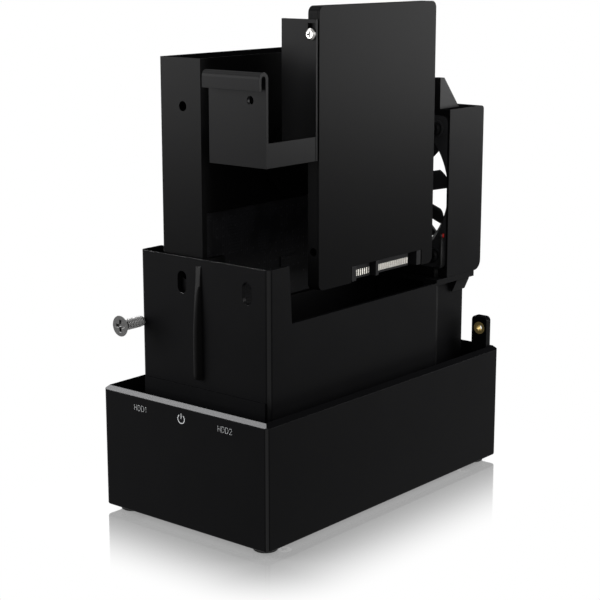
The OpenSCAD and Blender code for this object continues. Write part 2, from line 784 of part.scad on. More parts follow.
module socket_left() color([0.05, 0.05, 0.06]) drive_socket(hdd_x1);
module socket_right() color([0.05, 0.05, 0.06]) drive_socket(ssd_x1);

// The sheet round the rear ports, with an opening for each.
module io_panel() color([0.12, 0.12, 0.13]) difference() {
    block(-window_half - 2, window_half + 2, panel_y0, panel_y1, plate_top,
        window_z + window_h + 2);
    port_cut(-switch_x, switch_z, 9.0 + 2 * port_gap, 13.0 + 2 * port_gap);
    bar_y([-button_x, panel_y0 - eps, button_z], button_r + port_gap, panel_t + 2 * eps);
    port_cut(-selector_x, selector_z, selector_travel + 2.4, 2.4);
    port_cut(usb_x, usb_z, 12.0 + 2 * port_gap, 10.9 + 2 * port_gap);
    port_cut(inlet_x, inlet_z, 9.0 + 2 * port_gap, 11.0 + 2 * port_gap);
}

module port_cut(x, z, w, h) {
    block(x - w / 2, x + w / 2, panel_y0 - eps, panel_y1 + eps, z - h / 2, z + h / 2);
}

button_r = 1.75;
button_z = board_top + 3.4;
button_body_y1 = panel_y0 - 0.4;
button_rest = 0.6;
selector_z = board_top + 2.2;
selector_body_y1 = panel_y0 - 0.2;
usb_z = board_top + 5.45;
inlet_z = board_top + 5.5;
rocker_pivot_y = panel_y0 - 2.2;

// The metal shell of the square data port, with its chamfered upper corners.
module usb_outline(grow) {
    w = 6.0 + grow;
    h = 5.45 + grow;
    polygon([[-w, -h], [w, -h], [w, h - 2.6], [w - 2.6, h], [-w + 2.6, h], [-w, h - 2.6]]);
}

module usb_shell() color([0.75, 0.76, 0.78])
    translate([usb_x, 0, usb_z]) difference() {
        front_profile(port_y1 - 16, port_y1) usb_outline(0);
        front_profile(port_y1 - 15, port_y1 + eps) usb_outline(-0.6);
    }

// The insulating tongue inside the data port.
module usb_insert() color([0.1, 0.1, 0.11]) {
    block(usb_x - 2.8, usb_x + 2.8, port_y1 - 15, port_y1 - 2, usb_z - 1.6, usb_z + 1.6);
    block(usb_x - 4.2, usb_x + 4.2, port_y1 - 15, port_y1 - 12.5, usb_z - 3.6, usb_z + 3.2);
}

// The power inlet, a block with a round mouth.
module dc_jack() color([0.04, 0.04, 0.05]) difference() {
    block(inlet_x - 4.5, inlet_x + 4.5, port_y1 - 14, port_y1, board_top, board_top + 11);
    bar_y([inlet_x, port_y1 - 10, inlet_z], 3.0, 10 + eps);
}

module dc_pin() color([0.8, 0.8, 0.82]) {
    bar_y([inlet_x, port_y1 - 10, inlet_z], 1.05, 8.4);
    translate([inlet_x, port_y1 - 1.6, inlet_z]) sphere(r = 1.05);
}

// The power switch's frame, clipped into the panel.
module switch_body() color([0.05, 0.05, 0.06]) difference() {
    union() {
        block(-switch_x - 5.2, -switch_x + 5.2, panel_y1, port_y1 - 0.4, switch_z - 7.4,
            switch_z + 7.4);
        block(-switch_x - 4.5, -switch_x + 4.5, panel_y1 - 12, panel_y1 + eps, switch_z - 6.5,
            switch_z + 6.5);
    }
    block(-switch_x - 3.6, -switch_x + 3.6, panel_y1 - 6, port_y1 + eps, switch_z - 5.6,
        switch_z + 5.6);
    translate([-switch_x, rocker_pivot_y, switch_z]) side_profile(-4.1, 4.1) circle(0.75);
}

// The rocking paddle, a V-shaped outline on its pivot.
module power_rocker() color([0.02, 0.02, 0.03])
    translate([-switch_x, rocker_pivot_y, switch_z]) {
        rotate([rocker_swing / 2, 0, 0]) side_profile(-3.3, 3.3) {
            circle(1.6);
            polygon([[-0.9, -1.4], [1.3, -4.6], [2.9, -4.6], [2.3, 0], [2.9, 4.6], [1.3, 4.6],
                [-0.9, 1.4]]);
        }
        side_profile(-3.95, 3.95) circle(0.7);
    }

// The mode selector's housing.
module raid_body() color([0.6, 0.6, 0.62]) difference() {
    block(-selector_x - 4.2, -selector_x + 4.2, selector_body_y1 - 4.4, selector_body_y1,
        board_top, board_top + 4.4);
    block(-selector_x - 3.4, -selector_x + 3.4, selector_body_y1 - 2, selector_body_y1 + eps,
        selector_z - 1.3, selector_z + 1.3);
}

// The selector's knob, shown at the end of its travel nearest the button.
module raid_slider() color([0.03, 0.03, 0.03]) {
    x = -selector_x - selector_travel / 2;
    block(x - 1, x + 1, selector_body_y1 - 1.9, panel_y1 + 1, selector_z - 1, selector_z + 1);
}

// The set button's switch.
module button_body() color([0.08, 0.08, 0.09]) difference() {
    block(-button_x - 3, -button_x + 3, button_body_y1 - 5, button_body_y1, board_top,
        board_top + 6.4);
    bar_y([-button_x, button_body_y1 - 3.2, button_z], button_r + 0.05, 3.2 + eps);
}

module set_button() color([0.03, 0.03, 0.03])
    bar_y([-button_x, button_body_y1 - 3.2 + button_travel + 0.3, button_z], button_r,
        panel_y1 + button_rest - (button_body_y1 - 3.2 + button_travel + 0.3));

// The lamp board behind the front wall.
module led_board() color([0.02, 0.18, 0.1]) difference() {
    block(-lamp_x, lamp_x, lamp_y0, lamp_y1, lamp_z0, lamp_z1);
    both_sides() bar_y([lamp_pad_x, lamp_y0 - eps, lamp_pad_z], through_r, lamp_t + 2 * eps);
}

module lamp_screws() color([0.7, 0.7, 0.72]) both_sides()
    translate([lamp_pad_x, lamp_y1, lamp_pad_z]) rotate([-90, 0, 0]) pan_screw(lamp_t + 2.6);

module status_leds() color([0.75, 0.85, 1.0])
    for (x = [-light_x, 0, light_x]) {
        block(x - 1.6, x + 1.6, lamp_y0 - 0.5, lamp_y0, light_z - 1, light_z + 1);
        block(x - 1, x + 1, lamp_y0 - 1, lamp_y0 - 0.5, light_z - 0.7, light_z + 0.7);
    }

// The flat ribbon from the lamp board down under the cradle and up to the main board.
module led_ribbon() color([0.6, 0.6, 0.62]) {
    t = 0.6;
    low = plate_top + 1;
    far = board_y0 + 5;
    side_profile(-ribbon_w / 2, ribbon_w / 2)
        polygon([[lamp_y1, lamp_z0 + 4], [lamp_y1, low + 1], [lamp_y1 + 1, low], [far - 1, low],
            [far, low + 1], [far, board_z], [far - t, board_z], [far - t, low + 1 + t * 0.4],
            [far - 1 - t * 0.4, low + t], [lamp_y1 + 1 + t * 0.4, low + t],
            [lamp_y1 + t, low + 1 + t * 0.4], [lamp_y1 + t, lamp_z0 + 4]]);
}

// The place of a drive's three side holes, measured from its connector end.
hdd_holes = [28.5, 70.11, 130.1];
hdd_hole_x = -slot_left;
hdd_hole_depth = 5;
hdd_lid_x = hdd_x0 + hdd_lid_t;
hdd_board_y0 = hdd_y0 + 2.4;
hdd_board_y1 = hdd_y1 - 2.4;
recess_half = plug_half + 0.4;
recess_x = tongue_in + tongue_t + 1.2;
hub_y = (hdd_y0 + hdd_y1) / 2;
hub_z = hdd_z0 + hdd_l - 40;
hub_boss_r = 14;
hdd_board_z1 = hub_z - hub_boss_r - 0.4;

// The large drive's casting, with its board pocket, motor boss, side holes and connector recess.
module hdd_body() color([0.07, 0.07, 0.075]) difference() {
    union() {
        difference() {
            block(hdd_lid_x, hdd_x1, hdd_y0, hdd_y1, hdd_z0, hdd_z1);
            block(hdd_x1 - hdd_pocket, hdd_x1 + eps, hdd_board_y0, hdd_board_y1, hdd_z0 + 4,
                hdd_board_z1);
            // The stepped hollow round the motor.
            translate([hdd_x1 - 1.2, hub_y, hub_z]) side_profile(0, 1.2 + eps) circle(31);
        }
        translate([hdd_x1 - 1.7, hub_y, hub_z]) side_profile(0, 1.3) circle(hub_boss_r);
    }
    block(hdd_x1 - recess_x, hdd_x1 + eps, plug_y - recess_half, plug_y + recess_half,
        hdd_z0 - eps, hdd_z0 + plug_depth + plug_block + 0.1);
    for (z = hdd_holes) {
        bar_y([hdd_hole_x, hdd_y0 - eps, hdd_z0 + z], hdd_hole_r, hdd_hole_depth + eps);
        bar_y([hdd_hole_x, hdd_y1 - hdd_hole_depth, hdd_z0 + z], hdd_hole_r, hdd_hole_depth + eps);
    }
}

// The pressed steel lid with its cut corners and raised field.
module hdd_lid() color([0.09, 0.09, 0.095]) {
    inset = 1.2;
    cut = 6;
    y0 = hdd_y0 + inset;
    y1 = hdd_y1 - inset;
    z0 = hdd_z0 + inset;
    z1 = hdd_z1 - inset;
    side_profile(hdd_x0 + hdd_lid_t / 2, hdd_lid_x)
        polygon([[y0 + cut, z0], [y1 - cut, z0], [y1, z0 + cut], [y1, z1 - cut], [y1 - cut, z1],
            [y0 + cut, z1], [y0, z1 - cut], [y0, z0 + cut]]);
    side_profile(hdd_x0, hdd_lid_x) {
        translate([hub_y, hub_z]) circle(36);
        translate([y0 + 8, z0 + 8]) square([y1 - y0 - 16, 40]);
    }
}

module hdd_lid_screws() color([0.55, 0.56, 0.58])
    for (y = [hdd_y0 + 4.6, hdd_y1 - 4.6], z = [hdd_z0 + 10.5, (hdd_z0 + hdd_z1) / 2, hdd_z1 - 10.5])
        translate([hdd_x0 + hdd_lid_t / 2, y, z]) rotate([0, -90, 0])
            cylinder(r = 1.6, h = hdd_lid_t / 2);

// The drive's circuit board, which lies in its pocket.
module hdd_board() color([0.02, 0.14, 0.09]) {
    x0 = hdd_x1 - hdd_pocket;
    difference() {
        block(x0, x0 + 1, hdd_board_y0 + 0.2, hdd_board_y1 - 0.2, hdd_z0 + 4.2,
            hdd_board_z1 - 0.2);
        block(x0 - eps, x0 + 1 + eps, plug_y - recess_half - 0.2, plug_y + recess_half + 0.2,
            hdd_z0, hdd_z0 + plug_depth + plug_block + 0.2);
    }
    for (c = [[-30, 40, 12], [-8, 62, 9], [22, 44, 14], [24, 70, 7]])
        block(x0 + 1, x0 + 1.5, hub_y + c[0], hub_y + c[0] + c[2], hdd_z0 + c[1],
            hdd_z0 + c[1] + c[2]);
}

plug_block = 3.2;
contact_t = 0.06;
contact_l = 2.8;
contact_z = tongue_short + 0.7;

// A drive's plug: its posts, two tongues and the contacts on them.
module drive_plug(face, z0, shell) {
    x0 = face - recess_x + 0.05;
    t0 = face - tongue_in - tongue_t;
    t1 = face - tongue_in;
    top = z0 + plug_depth;
    block(x0, face - shell, plug_y - plug_half, plug_y + plug_half, top, top + plug_block);
    for (y = [[-plug_half, -plug_half + plug_post], [plug_half - plug_post, plug_half],
            [key_y - plug_y - key_half, key_y - plug_y + key_half]])
        block(x0, face - 0.1, plug_y + y[0], plug_y + y[1], z0 + tongue_short - 0.2, top);
    for (y = [[data_y0, data_y1], [power_y0, power_y1]])
        block(t0, t1, y[0], y[1], z0 + tongue_short, top);
}

// The rows of contacts, seven for data and fifteen for power.
module plug_contacts(face, z0) {
    t1 = face - tongue_in;
    for (row = [[data_y0 + 0.7, 7], [power_y0 + 0.9, 15]], i = [0:row[1] - 1])
        translate([t1, row[0] + 1.27 * i - 0.42, z0 + contact_z])
            cube([contact_t, 0.84, contact_l]);
}

module hdd_plug() color([0.04, 0.04, 0.05]) drive_plug(hdd_x1, hdd_z0, 0.2);
module hdd_contacts() color([0.85, 0.7, 0.35]) plug_contacts(hdd_x1, hdd_z0);

// The small drive's shallow case, open towards the cover.
module ssd_case() color([0.1, 0.1, 0.105]) difference() {
    rounded_slab(ssd_x0, ssd_x1 - ssd_cover_t);
    block(ssd_x0 + ssd_wall, ssd_x1, ssd_y0 + 1.6 + ssd_wall, ssd_y1 - 1.6 - ssd_wall,
        ssd_z0 + 3, ssd_z1 - 1.6 - ssd_wall);
    ssd_mouth(ssd_x1 - recess_x);
    for (z = [14, ssd_hole_z]) {
        bar_y([tray_screw_x, ssd_y0 - eps, ssd_z0 + z], screw_hole_r, 3 + eps);
        bar_y([tray_screw_x, ssd_y1 - 3, ssd_z0 + z], screw_hole_r, 3 + eps);
    }
}

// The small drive's outline with round corners, from x0 to x1.
module rounded_slab(x0, x1) {
    r = ssd_corner_r;
    side_profile(x0, x1) {
        translate([ssd_y0 + r, ssd_z0]) square([ssd_w - 2 * r, ssd_l]);
        translate([ssd_y0, ssd_z0 + r]) square([ssd_w, ssd_l - 2 * r]);
        for (y = [ssd_y0 + r, ssd_y1 - r], z = [ssd_z0 + r, ssd_z1 - r])
            translate([y, z]) circle(r);
    }
}

// The opening in the small drive's lower edge that shows its plug.
module ssd_mouth(x0) {
    block(x0, ssd_x1 + eps, plug_y - recess_half, plug_y + recess_half, ssd_z0 - eps,
        ssd_z0 + plug_depth);
    block(x0, ssd_x1 - ssd_cover_t + eps, plug_y - recess_half, plug_y + recess_half,
        ssd_z0 - eps, ssd_z0 + plug_depth + plug_block + 0.1);
}

module ssd_cover() color([0.11, 0.11, 0.115]) difference() {
    rounded_slab(ssd_x1 - ssd_cover_t, ssd_x1);
    ssd_mouth(ssd_x1 - recess_x);
}

// The small drive's circuit board with its controller and memory.
module ssd_board() color([0.02, 0.16, 0.1]) {
    x0 = ssd_x0 + ssd_wall;
    y0 = ssd_y0 + 3.2;
    z0 = ssd_z0 + plug_depth + plug_block + 0.1;
    block(x0, x0 + 1, y0, ssd_y1 - 3.2, z0, z0 + 52);
    for (c = [[6, 6, 12, 12], [26, 5, 14, 18], [44, 5, 14, 18], [26, 28, 14, 18]])
        block(x0 + 1, x0 + 2, y0 + c[0], y0 + c[0] + c[2], z0 + c[1], z0 + c[1] + c[3]);
}

module ssd_plug() color([0.04, 0.04, 0.05]) drive_plug(ssd_x1, ssd_z0, ssd_cover_t);
module ssd_contacts() color([0.85, 0.7, 0.35]) plug_contacts(ssd_x1, ssd_z0);

// The folded sheet: a hook over the front wall, a handle plate, an arm and a bracket.
module drive_tray() color([0.09, 0.09, 0.095]) difference() {
    union() {
        block(tray_x0, tray_x1, tray_y0, tray_y1, tray_z0, tray_bend_z);
        // The half-round bend and the lip in front of it.
        translate([0, tray_bend_y, tray_bend_z]) side_profile(tray_x0, tray_x1)
            difference() {
                circle(tray_outer_r);
                circle(tray_bend_r);
                translate([-tray_outer_r - 1, -2 * tray_outer_r])
                    square([2 * tray_outer_r + 2, 2 * tray_outer_r]);
            }
        block(tray_x0, tray_x1, tray_lip_y0, tray_lip_y0 + tray_t, tray_bend_z - tray_lip,
            tray_bend_z);
        block(tray_x1 - tray_t, tray_x1, tray_y0, bracket_y0 + tray_t, tray_z0,
            tray_z0 + tray_arm_h);
        bracket_plate();
    }
    bar_y([tray_hole_x, tray_y0 - eps, tray_hole_z], screw_hole_r, tray_t + 2 * eps);
}

// The plate beside the small drive, with a keyhole for its screw.
module bracket_plate() {
    keyhole_r = screw_r + 0.1;
    difference() {
        block(bracket_x1 - bracket_w, bracket_x1, bracket_y0, bracket_y0 + tray_t, tray_z0,
            bracket_z1);
        bar_y([tray_screw_x, bracket_y0 - eps, tray_screw_z], keyhole_r, tray_t + 2 * eps);
        block(tray_screw_x - keyhole_r, tray_screw_x + keyhole_r, bracket_y0 - eps,
            bracket_y0 + tray_t + eps, tray_screw_z, tray_screw_z + 3.8);
    }
}

module tray_screw() color([0.8, 0.8, 0.82])
    translate([tray_screw_x, bracket_y0, tray_screw_z]) rotate([90, 0, 0]) tray_pan();

// The tray's screw, with a head small enough for the drive's edge.
module tray_pan() {
    head_r = 2.1;
    difference() {
        union() {
            translate([0, 0, -tray_t - 2.6]) cylinder(r = screw_r, h = tray_t + 2.6);
            cylinder(r = head_r, h = 0.6);
            translate([0, 0, 0.6]) cylinder(r1 = head_r, r2 = head_r - 0.7, h = 0.5);
        }
        translate([0, 0, 1.1]) cross_cut(2.2);
    }
}

// The fan housing: a sleeve round the fan, thick sides behind it, fins on top, hooks below.
module fan_shroud() color([0.07, 0.07, 0.075]) difference() {
    union() {
        difference() {
            shroud_shell();
            // The seat of the fan frame.
            block(-fan_half, fan_half, fan_y0 - eps, fan_y1, fan_z - fan_half, fan_z + fan_half);
            // The outlet behind the fan.
            block(-shroud_x + shroud_side, shroud_x - shroud_side, fan_y1 - eps, shroud_y1 + eps,
                fan_z - fan_half + 1.6, fan_z + fan_half - 0.6);
        }
        for (sx = [-1, 1], sz = [-1, 1])
            translate([sx * fan_hole, 0, fan_z + sz * fan_hole]) shroud_boss(sx);
        both_sides() shroud_hook();
        both_sides() shroud_fin();
    }
    for (sx = [-1, 1], sz = [-1, 1])
        bar_y([sx * fan_hole, fan_y1 - eps, fan_z + sz * fan_hole], screw_hole_r, 8 + eps);
    // The openings in the floor that the air comes up through.
    for (x = [-16, 0, 16])
        block(x - 6.5, x + 6.5, fan_y1 + 1, duct_y1 - cradle_wall, shelf_top - eps,
            fan_z - fan_half + 2);
}

// The housing's outline seen from the side, with rounded rear corners.
module shroud_shell() {
    r = 4;
    r_top = 1.5;
    side_profile(-shroud_x, shroud_x) {
        translate([fan_y0, shelf_top]) square([shroud_d - r, shroud_z1 - shelf_top]);
        translate([fan_y0, shelf_top + r])
            square([shroud_d, shroud_z1 - shelf_top - r - r_top]);
        translate([fan_y0 + shroud_d - r - eps, shelf_top + 2 * r])
            square([r + eps - r_top, shroud_z1 - shelf_top - 2 * r]);
        translate([shroud_y1 - r, shelf_top + r]) circle(r);
        translate([shroud_y1 - r_top, shroud_z1 - r_top]) circle(r_top);
    }
}

// A boss behind the fan that takes a fan screw, joined to the housing's side.
module shroud_boss(side) {
    bar_y([0, fan_y1, 0], 3, 8);
    translate([side > 0 ? 0 : -(shroud_x - fan_hole), fan_y1, -3])
        cube([shroud_x - fan_hole, 8, 6]);
}

// A hook that snaps into a notch of the cradle's shelf.
module shroud_hook() {
    front_profile(hook_y0, duct_y1)
        polygon([[hook_x0, shelf_top + eps], [hook_x0, shelf_z - hook_drop],
            [hook_x0 + 0.7, shelf_z - hook_drop], [hook_x1 + 0.8, shelf_z - 1.2],
            [hook_x1 + 0.8, shelf_z - 0.2], [hook_x1, shelf_z - 0.2], [hook_x1, shelf_top + eps]]);
}

// A fin on top of the housing.
module shroud_fin() {
    side_profile(shroud_x - 7, shroud_x - 4.8)
        polygon([[fan_y0, shroud_z1 - eps], [fan_y0, shroud_z1 + fin_h],
            [fan_y0 + 2.8, shroud_z1 + fin_h - 0.2], [fan_y0 + 12.8, shroud_z1 + 0.3],
            [fan_y0 + 12.8, shroud_z1 - eps]]);
}

// The square frame with its round opening, screw rings, struts and bearing tube.
module fan_frame() color([0.05, 0.05, 0.055]) difference() {
    union() {
        difference() {
            front_profile(fan_y0, fan_y1) translate([0, fan_z]) frame_outline();
            bar_y([0, fan_y0 - eps, fan_z], fan_open_r, fan_t + 2 * eps);
            bell_mouth();
        }
        for (sx = [-1, 1], sz = [-1, 1])
            bar_y([sx * fan_hole, fan_y0 - fan_ring, fan_z + sz * fan_hole], 3.2, fan_ring + eps);
        // The struts that carry the motor.
        intersection() {
            bar_y([0, fan_y1 - fan_plate, fan_z], fan_open_r + 0.5, fan_plate);
            for (turn = [45:90:315])
                translate([0, fan_y1, fan_z]) rotate([0, turn, 0])
                    translate([-1.1, -fan_plate, 0]) cube([2.2, fan_plate, fan_open_r + 2]);
        }
        bar_y([0, fan_y1 - fan_plate, fan_z], fan_hub_r + 0.6, fan_plate);
        bar_y([0, fan_y0 + 3, fan_z], 3, fan_t - 3);
    }
    bar_y([0, fan_y0 - eps, fan_z], fan_shaft_r + fan_shaft_gap, fan_t - 0.5 + eps);
    for (sx = [-1, 1], sz = [-1, 1])
        bar_y([sx * fan_hole, fan_y0 - fan_ring - eps, fan_z + sz * fan_hole], through_r,
            fan_t + fan_ring + 2 * eps);
}

// The frame's square outline with round corners.
// The flared mouth of the fan's round opening.
module bell_mouth() {
    flare = 3;
    depth = 4.5;
    translate([0, fan_y0 - eps, fan_z]) rotate([-90, 0, 0])
        cylinder(r1 = fan_open_r + flare, r2 = fan_open_r, h = depth);
}

module frame_outline() {
    r = 3;
    h = fan_half;
    translate([-h + r, -h]) square([2 * (h - r), 2 * h]);
    translate([-h, -h + r]) square([2 * h, 2 * (h - r)]);
    for (sx = [-1, 1], sz = [-1, 1]) translate([sx * (h - r), sz * (h - r)]) circle(r);
}

blade_r = fan_open_r - fan_tip_gap;
blade_mid_y = fan_y0 + 4.9;

// The hub's cup and the cambered blades round it.
module fan_rotor() color([0.04, 0.04, 0.045]) difference() {
    union() {
        bar_y([0, fan_y0 + 0.9, fan_z], fan_hub_r, 7.3);
        intersection() {
            difference() {
                bar_y([0, fan_y0 + 0.6, fan_z], blade_r, 7.8);
                bar_y([0, fan_y0, fan_z], fan_hub_r - 1, 10);
            }
            for (i = [0:fan_blades - 1])
                translate([0, blade_mid_y, fan_z]) rotate([0, fan_rest + i * 360 / fan_blades, 0])
                    blade();
        }
    }
    bar_y([0, fan_y0 + 2, fan_z], fan_hub_r - 1.2, 10);
    bar_y([0, fan_y0 + 1.3, fan_z], fan_shaft_r, 2);
}

// The angle that the first blade rests at.
fan_rest = 12.5;

// One blade, a thin slice of a round wall that leans across the flow.
module blade() {
    r = 16;
    t = 0.9;
    chord = 9;
    rotate([0, 0, 38]) translate([0, -r, 0]) linear_extrude(fan_open_r + 2) intersection() {
        difference() {
            circle(r);
            circle(r - t);
        }
        translate([-chord / 2, 0]) square([chord, r + 1]);
    }
}

module fan_shaft() color([0.8, 0.8, 0.82])
    bar_y([0, fan_y0 + 1.3, fan_z], fan_shaft_r, fan_t - 2.4);

// The motor's coils on their core, pressed onto the bearing tube.
module fan_stator() color([0.6, 0.35, 0.15]) {
    r = fan_hub_r - 2.2;
    difference() {
        union() {
            bar_y([0, fan_y0 + 3.6, fan_z], 4.4, 4.4);
            for (turn = [0:90:270])
                translate([0, fan_y0 + 3.8, fan_z]) rotate([0, turn, 0]) {
                    translate([-1.9, 0, 3]) cube([3.8, 4, r - 4.4]);
                    translate([-3.6, 1, r - 2]) cube([7.2, 2, 1.2]);
                }
        }
        bar_y([0, fan_y0, fan_z], 3.0, fan_t);
    }
}

module fan_screws() color([0.2, 0.2, 0.21])
    for (sx = [-1, 1], sz = [-1, 1])
        translate([sx * fan_hole, fan_y0 - fan_ring, fan_z + sz * fan_hole])
            rotate([90, 0, 0]) pan_screw(fan_t + fan_ring + 6);

// The fan's two wires, which run down the frame, step in under it and pass through the shelf.
module fan_lead() color([0.2, 0.03, 0.03])
    for (row = [0, 1]) {
        y = lead_y + 0.15 - row * 1.3;
        low = board_top + lead_r + 0.02;
        step = shelf_top + 4;
        translate([lead_x, y, step]) wire(fan_z - 16 - step);
        translate([lead_x, y, step]) rotate([0, -90, 0]) wire(lead_x - lead_low_x);
        translate([lead_low_x, y, low]) wire(step - low);
        translate([lead_low_x, y, step]) sphere(r = lead_r, $fn = 32);
        translate([lead_low_x, y, low]) rotate([0, -90, 0]) wire(4);
    }

// One straight run of a wire, with a round joint at its start.
module wire(length) {
    sphere(r = lead_r, $fn = 32);
    cylinder(r = lead_r, h = length, $fn = 32);
}

// The countersunk screw taken out of the cradle, its axis along Y.
module loose_screw() color([0.62, 0.62, 0.6]) {
    tip = 0.5;
    translate([-loose_x, cy0 - front_gap, loose_z]) rotate([90, 0, 0]) {
        translate([0, 0, loose_len]) flat_screw(loose_len - tip, loose_r, loose_head_r);
        cylinder(r1 = loose_r - tip, r2 = loose_r, h = tip);
    }
}

base_housing();
brass_inserts();
rubber_feet();
bottom_plate();
plate_screws();
cradle();
cradle_screws();
main_board();
board_standoffs();
board_screws();
board_chips();
board_capacitors();
socket_left();
socket_right();
io_panel();
usb_shell();
usb_insert();
dc_jack();
dc_pin();
switch_body();
power_rocker();
raid_body();
raid_slider();
button_body();
set_button();
led_board();
lamp_screws();
status_leds();
led_ribbon();
hdd_body();
hdd_lid();
hdd_lid_screws();
hdd_board();
hdd_plug();
hdd_contacts();
ssd_case();
ssd_cover();
ssd_board();
ssd_plug();
ssd_contacts();
drive_tray();
tray_screw();
fan_shroud();
fan_frame();
fan_rotor();
fan_shaft();
fan_stator();
fan_screws();
fan_lead();
loose_screw();
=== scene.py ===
"""Dress a two-bay drive enclosure: soft edges, finishes, marks, small parts, light and camera.

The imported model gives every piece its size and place. This file rounds the edges that the eye
meets, models what is too fine for the construction, and gives each surface its finish.
"""

import math
from functools import cache

import bmesh
import bpy
from bpy.props import FloatProperty, FloatVectorProperty, IntProperty, PointerProperty
from bpy.types import Operator, Panel, PropertyGroup
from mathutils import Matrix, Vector


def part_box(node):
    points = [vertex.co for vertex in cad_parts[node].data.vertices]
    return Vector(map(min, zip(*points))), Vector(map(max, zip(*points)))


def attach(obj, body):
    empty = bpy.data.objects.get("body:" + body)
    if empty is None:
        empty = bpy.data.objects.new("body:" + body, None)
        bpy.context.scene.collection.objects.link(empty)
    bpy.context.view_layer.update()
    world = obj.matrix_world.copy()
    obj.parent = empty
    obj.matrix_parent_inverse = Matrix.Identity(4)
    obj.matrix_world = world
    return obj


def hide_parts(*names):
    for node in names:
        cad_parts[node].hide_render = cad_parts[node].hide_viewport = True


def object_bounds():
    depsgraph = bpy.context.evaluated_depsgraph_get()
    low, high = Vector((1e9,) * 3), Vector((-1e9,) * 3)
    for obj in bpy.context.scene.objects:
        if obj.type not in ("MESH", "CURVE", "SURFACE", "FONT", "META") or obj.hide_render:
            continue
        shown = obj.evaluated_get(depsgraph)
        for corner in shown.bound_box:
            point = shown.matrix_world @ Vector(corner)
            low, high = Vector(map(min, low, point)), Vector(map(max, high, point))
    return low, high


bl_info = {
    "name": "Two-bay drive enclosure",
    "version": (1, 0, 0),
    "blender": (4, 5, 0),
    "location": "View3D > Sidebar > Enclosure",
    "description": "Builds the look of an open two-bay drive enclosure",
    "category": "Object",
}

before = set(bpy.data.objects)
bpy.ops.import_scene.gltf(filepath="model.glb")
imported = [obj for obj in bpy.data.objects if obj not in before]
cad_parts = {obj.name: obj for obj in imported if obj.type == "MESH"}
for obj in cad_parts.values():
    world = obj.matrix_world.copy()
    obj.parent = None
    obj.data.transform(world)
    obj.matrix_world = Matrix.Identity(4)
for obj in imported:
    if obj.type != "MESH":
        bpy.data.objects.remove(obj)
CAD_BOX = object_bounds()
MM = 0.001


# Settings that a user would change

def tint(name, text, default):
    """A setting for a colour."""
    return FloatVectorProperty(
        name=name, description=text, subtype="COLOR", size=3, min=0, max=1, default=default)


def number(name, text, default, subtype="NONE", least=0.0, most=1.0, unit="NONE"):
    """A setting for a number."""
    return FloatProperty(
        name=name, description=text, subtype=subtype, unit=unit, min=least, max=most,
        default=default)


def length(name, text, default, least=0.0, most=0.001):
    """A setting for a length in metres."""
    return number(name, text, default, "DISTANCE", least, most, "LENGTH")


def power(name, text, default):
    """A setting for a lamp's power in watts."""
    return number(name, text, default, "POWER", most=500)


class EnclosureFinish(PropertyGroup):
    """Colours and roughness of the enclosure's finishes"""

    coat_colour: tint("Coating", "Black coating on the sheet metal", (0.0028, 0.0028, 0.003))
    coat_roughness: number("Coating roughness", "Roughness of the coating", 0.34, "FACTOR")
    plastic_colour: tint("Plastic", "Moulded black plastic", (0.0024, 0.0024, 0.0026))
    plastic_roughness: number("Plastic roughness", "Roughness of the plastic", 0.36, "FACTOR")
    drive_colour: tint("Drive", "Black finish of the drives' cases", (0.0012, 0.0012, 0.0013))
    strip_colour: tint("Front strip", "Cut bevel along the front rim", (0.052, 0.052, 0.053))
    steel_colour: tint("Steel", "Zinc-plated steel of the screws", (0.30, 0.295, 0.285))
    brass_colour: tint("Brass", "Turned brass of the inserts", (0.3, 0.225, 0.09))
    gold_colour: tint("Contacts", "Gold-plated contacts", (0.60, 0.58, 0.53))
    mark_colour: tint("Marks", "Printed marks on the front", (0.26, 0.264, 0.268))
    drive_board_colour: tint("Drive boards", "Mask on the drives' boards", (0.0035, 0.0035, 0.004))
    board_colour: tint("Boards", "Solder mask on the circuit boards", (0.012, 0.055, 0.035))


class EnclosureDetail(PropertyGroup):
    """Sizes of the soft edges and of the small modelled parts"""

    sheet_edge: length("Sheet edge", "Rounding on the sheet-metal edges", 0.00018)
    moulded_edge: length("Moulded edge", "Rounding on the moulded edges", 0.00025)
    base_foot_edge: length("Base foot edge", "Rounding under the base", 0.0008, most=0.0015)
    fine_edge: length("Fine edge", "Rounding on small parts", 0.0001)
    edge_segments: IntProperty(
        name="Edge segments", description="Facets across a rounded edge", min=1, max=4, default=2)
    thread_pitch: length(
        "Thread pitch", "Distance between two turns of the loose screw's thread", 0.00078,
        0.0004, 0.002)
    mark_height: length("Mark height", "Height of the printed drive numbers", 0.0021, 0.001, 0.005)


class EnclosureStage(PropertyGroup):
    """Camera and light"""

    focal_length: number(
        "Focal length", "Lens in millimetres on a 36 mm wide sensor", 95.016, least=20, most=300)
    camera_turn: number(
        "Camera turn", "How far the camera stands round to the right", math.radians(39.75),
        "ANGLE", -math.pi, math.pi)
    camera_tilt: number(
        "Camera tilt", "How far the camera looks down", math.radians(12.53), "ANGLE",
        most=math.pi / 2)
    camera_place: FloatVectorProperty(
        name="Camera place", description="Where the camera stands", subtype="TRANSLATION",
        size=3, default=(0.3765, -0.4586, 0.2067))
    key_power: power("Top light", "Power of the broad light above the left", 9)
    right_power: power("Right light", "Light behind the right side, which the side reflects", 7.0)
    left_power: power("Left light", "Light before the left, which the front reflects", 7.0)
    corner_power: power("Corner light", "Light beside the camera, which the edges catch", 5)
    room_level: number("Room light", "Level of the room as it lights the object", 0.5, most=2)


# Shader nodes written as expressions

def both_ways(operation):
    """An operator that adds a Math node, and its reflected form."""
    return (
        lambda self, other: self.maths(operation, self, other),
        lambda self, other: self.maths(operation, other, self))


